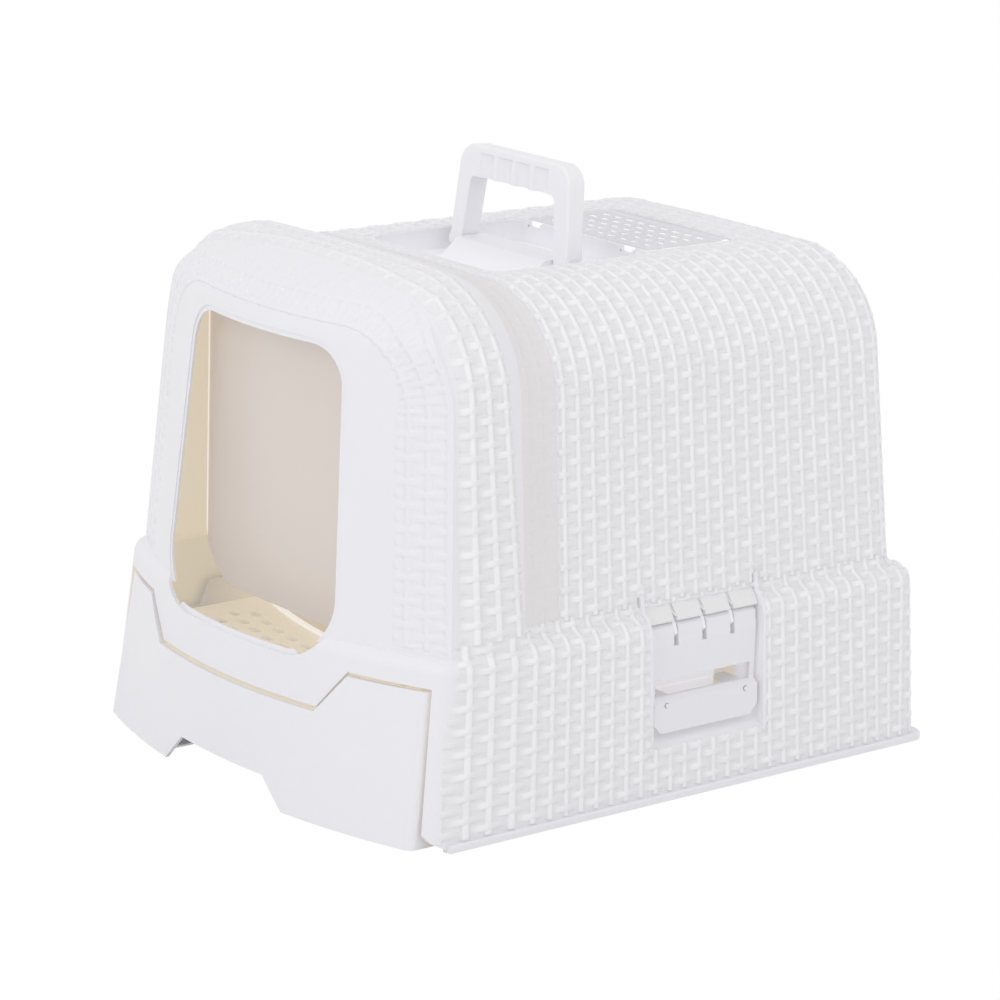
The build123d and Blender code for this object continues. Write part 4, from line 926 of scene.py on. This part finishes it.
skirtColumns = columnPlaces(skirtLines["front"], 2 * rearMiddle - skirtLines["front"], skirtWeave)
skirtRows = rowPlaces(skirtLines["low"], skirtLines["high"], skirtWeave)
stakeCuts = skirtLines["cut"], 2 * rearMiddle - skirtLines["cut"]
stakeJoins = ((0, -1),), ((0, 0), (0, -1)), ((0, 0),)
skirtParts = splitAt(skirtColumns, stakeCuts)
for partName, partStakes, joins in zip(("Right", "Rear", "Left"), skirtParts, stakeJoins):
    makeSkin("weaveSkirt" + partName, partStakes, skirtRows, skirtGuide, hoodSurface, "base", skirtWeave,
             wovenPlastic, joins=joins)

# filter lid: the same weave at half the size
lidWeave = dict(weave, pitch=6.1, row=4.2, stakeHalf=1.0, strandHalf=1.6, relief=0.7, lift=0.05, sink=0.15)
lidLines = {"front": 67.5, "rear": 138.0, "half": 64.5, "height": 344.6, "slack": 0.4}


def lidGuide(u, v):
    return (v, u, lidLines["height"]), (0.0, 0.0, 1.0), lidLines["slack"], 1.0, False


lidColumns = columnPlaces(lidLines["front"], lidLines["rear"], lidWeave)
lidRows = rowPlaces(-lidLines["half"], lidLines["half"], lidWeave)
makeSkin("weaveLid", lidColumns, lidRows, lidGuide, surfaceOf("filter_cover"), "filter_lid", lidWeave,
         lidPlastic)
print("weave done")

# latch pocket, in millimetres: sloping roof over the latch with gaps for the ribs, ledge under the catch and
# moulding marks on the tab; slope and ledge are outlines of (x, z), marks are places of (y, z)
pocket = {
    "front": -14.6, "rear": 82.6, "ribs": (9.0, 34.0, 59.0), "ribHalf": 1.55,
    "catchFront": 7.6, "catchRear": 58.8,
    "slope": ((175.4, 119.4), (175.9, 120.4), (173.6, 124.2), (170.4, 128.4), (167.0, 131.9), (165.0, 131.9),
              (165.0, 119.4)),
    "ledge": ((157.2, 60.8), (159.6, 60.8), (160.8, 62.0), (160.8, 68.9), (160.2, 69.4), (157.2, 69.4)),
    "tabFace": 181.95, "marks": ((-1.0, 64.0), (69.0, 64.0)), "markRadius": 1.9, "markWidth": 0.7,
    "markRise": 0.12, "markSides": 20,
}
slopePlastic = mouldedPlastic("slopePlastic", slopeLook)
markInk = grainyMatte("markInk", markLook)


def addPiece(name, points, faces, finish, body, slot):
    mesh = bpy.data.meshes.new(name)
    mesh.from_pydata([Vector(point) * mm for point in points], [], faces)
    mesh.update()
    form = bmesh.new()
    form.from_mesh(mesh)
    bmesh.ops.recalc_face_normals(form, faces=form.faces)
    form.to_mesh(mesh)
    form.free()
    mesh.materials.append(finish)
    obj = bpy.data.objects.new(name, mesh)
    scene.collection.objects.link(obj)
    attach(obj, body)


# bar with the given (x, z) outline between the places of spans, on one side of the box
def prism(outline, spans, side):
    points, faces = [], []
    count = len(outline)
    for start, end in spans:
        first = len(points)
        points += [(side * x, y, z) for y in (start, end) for x, z in outline]
        for i in range(count):
            j = (i + 1) % count
            faces.append((first + i, first + j, first + count + j, first + count + i))
        faces += [tuple(first + i for i in range(count)), tuple(first + count + i for i in range(count))]
    return points, faces


# flat ring that stands out from the tab's face round a place of (y, z)
def ring(middleY, middleZ, side):
    points, faces = [], []
    count, face, rise = pocket["markSides"], pocket["tabFace"], pocket["markRise"]
    large = pocket["markRadius"]
    small = large - pocket["markWidth"]
    for i in range(count):
        turn = 2 * pi * i / count
        for radius, x in ((small, face), (large, face), (large, face + rise), (small, face + rise)):
            points.append((side * x, middleY + radius * cos(turn), middleZ + radius * sin(turn)))
        following = (i + 1) % count
        for j in range(4):
            k = (j + 1) % 4
            faces.append((4 * i + j, 4 * i + k, 4 * following + k, 4 * following + j))
    return points, faces


# several shapes as one mesh
def joined(shapes):
    points, faces = [], []
    for morePoints, moreFaces in shapes:
        first = len(points)
        points += morePoints
        faces += [tuple(first + i for i in face) for face in moreFaces]
    return points, faces


edges = [pocket["front"]]
for rib in pocket["ribs"]:
    edges += [rib - pocket["ribHalf"], rib + pocket["ribHalf"]]
edges.append(pocket["rear"])
slopeSpans = list(zip(edges[::2], edges[1::2]))
catchSpans = [(pocket["catchFront"], pocket["catchRear"])]
for sideName, side in (("Right", 1), ("Left", -1)):
    slope = prism(pocket["slope"], slopeSpans, side)
    addPiece("pocketSlope" + sideName, *slope, slopePlastic, "base", "hood_plastic")
    ledge = prism(pocket["ledge"], catchSpans, side)
    addPiece("catchLedge" + sideName, *ledge, tubPlastic, "base", "tub_plastic")
    marks = joined([ring(y, z, side) for y, z in pocket["marks"]])
    addPiece("tabMarks" + sideName, *marks, markInk, sideName.lower() + "_latch", "latch_plastic")
print("latch pockets dressed")

# floor, backdrop and light; each light has its place, its aim, its two sizes and its power
studio = {"ambient": 0.84, "floorSize": 14.0, "paper": (0.86, 0.86, 0.86, 1.0), "paperRough": 0.9}
lights = {
    "keyLight": ((0.6, -2.5, 1.35), (0.0, -0.05, 0.2), (1.6, 1.2), 11.0),
    "fillLight": ((2.6, 0.6, 1.6), (0.1, 0.05, 0.2), (1.6, 1.6), 7.0),
    "topLight": ((-0.6, -0.9, 2.4), (0.0, 0.0, 0.3), (1.8, 1.8), 2.5),
}
white = (1.0, 1.0, 1.0, 1.0)


# mix that shows one shader to the camera, also in gloss and through the flap, and lights with the other
def shownAndLit(tree, lit, shown):
    path = addNode(tree, "ShaderNodeLightPath").outputs
    seen = calc(tree, "MAXIMUM", path["Is Camera Ray"], path["Is Glossy Ray"])
    seen = calc(tree, "MAXIMUM", seen, path["Is Transmission Ray"])
    return addNode(tree, "ShaderNodeMixShader", {0: seen, 1: lit.outputs[0], 2: shown.outputs[0]}).outputs[0]


def makeFloor():
    bpy.ops.mesh.primitive_plane_add(size=studio["floorSize"], location=(0, 0, 0))
    floorPlane = bpy.context.object
    floorPlane.name = "studioFloor"
    material, tree, shader = newMaterial("studioPaper")
    shader.inputs["Roughness"].default_value = studio["paperRough"]
    shader.inputs["Base Color"].default_value = studio["paper"]
    shown = addNode(tree, "ShaderNodeEmission", {"Color": white, "Strength": 1.0})
    tree.links.new(shownAndLit(tree, shader, shown), tree.nodes["Material Output"].inputs["Surface"])
    floorPlane.data.materials.append(material)


def makeWorld():
    world = bpy.data.worlds.new("studioRoom")
    scene.world = world
    world.use_nodes = True
    tree = world.node_tree
    tree.nodes.clear()
    lit = addNode(tree, "ShaderNodeBackground", {"Color": white, "Strength": studio["ambient"]})
    shown = addNode(tree, "ShaderNodeBackground", {"Color": white, "Strength": 1.0})
    addNode(tree, "ShaderNodeOutputWorld", {"Surface": shownAndLit(tree, lit, shown)})


def areaLight(name, place, aim, size, power):
    data = bpy.data.lights.new(name, "AREA")
    data.shape = "RECTANGLE"
    data.size, data.size_y = size
    data.energy = power
    obj = bpy.data.objects.new(name, data)
    scene.collection.objects.link(obj)
    direction = Vector(aim) - Vector(place)
    obj.matrix_world = Matrix.Translation(place) @ direction.to_track_quat("-Z", "Y").to_matrix().to_4x4()


makeFloor()
makeWorld()
for lightName, setting in lights.items():
    areaLight(lightName, *setting)
scene.view_settings.view_transform = "Standard"
print("studio lit")
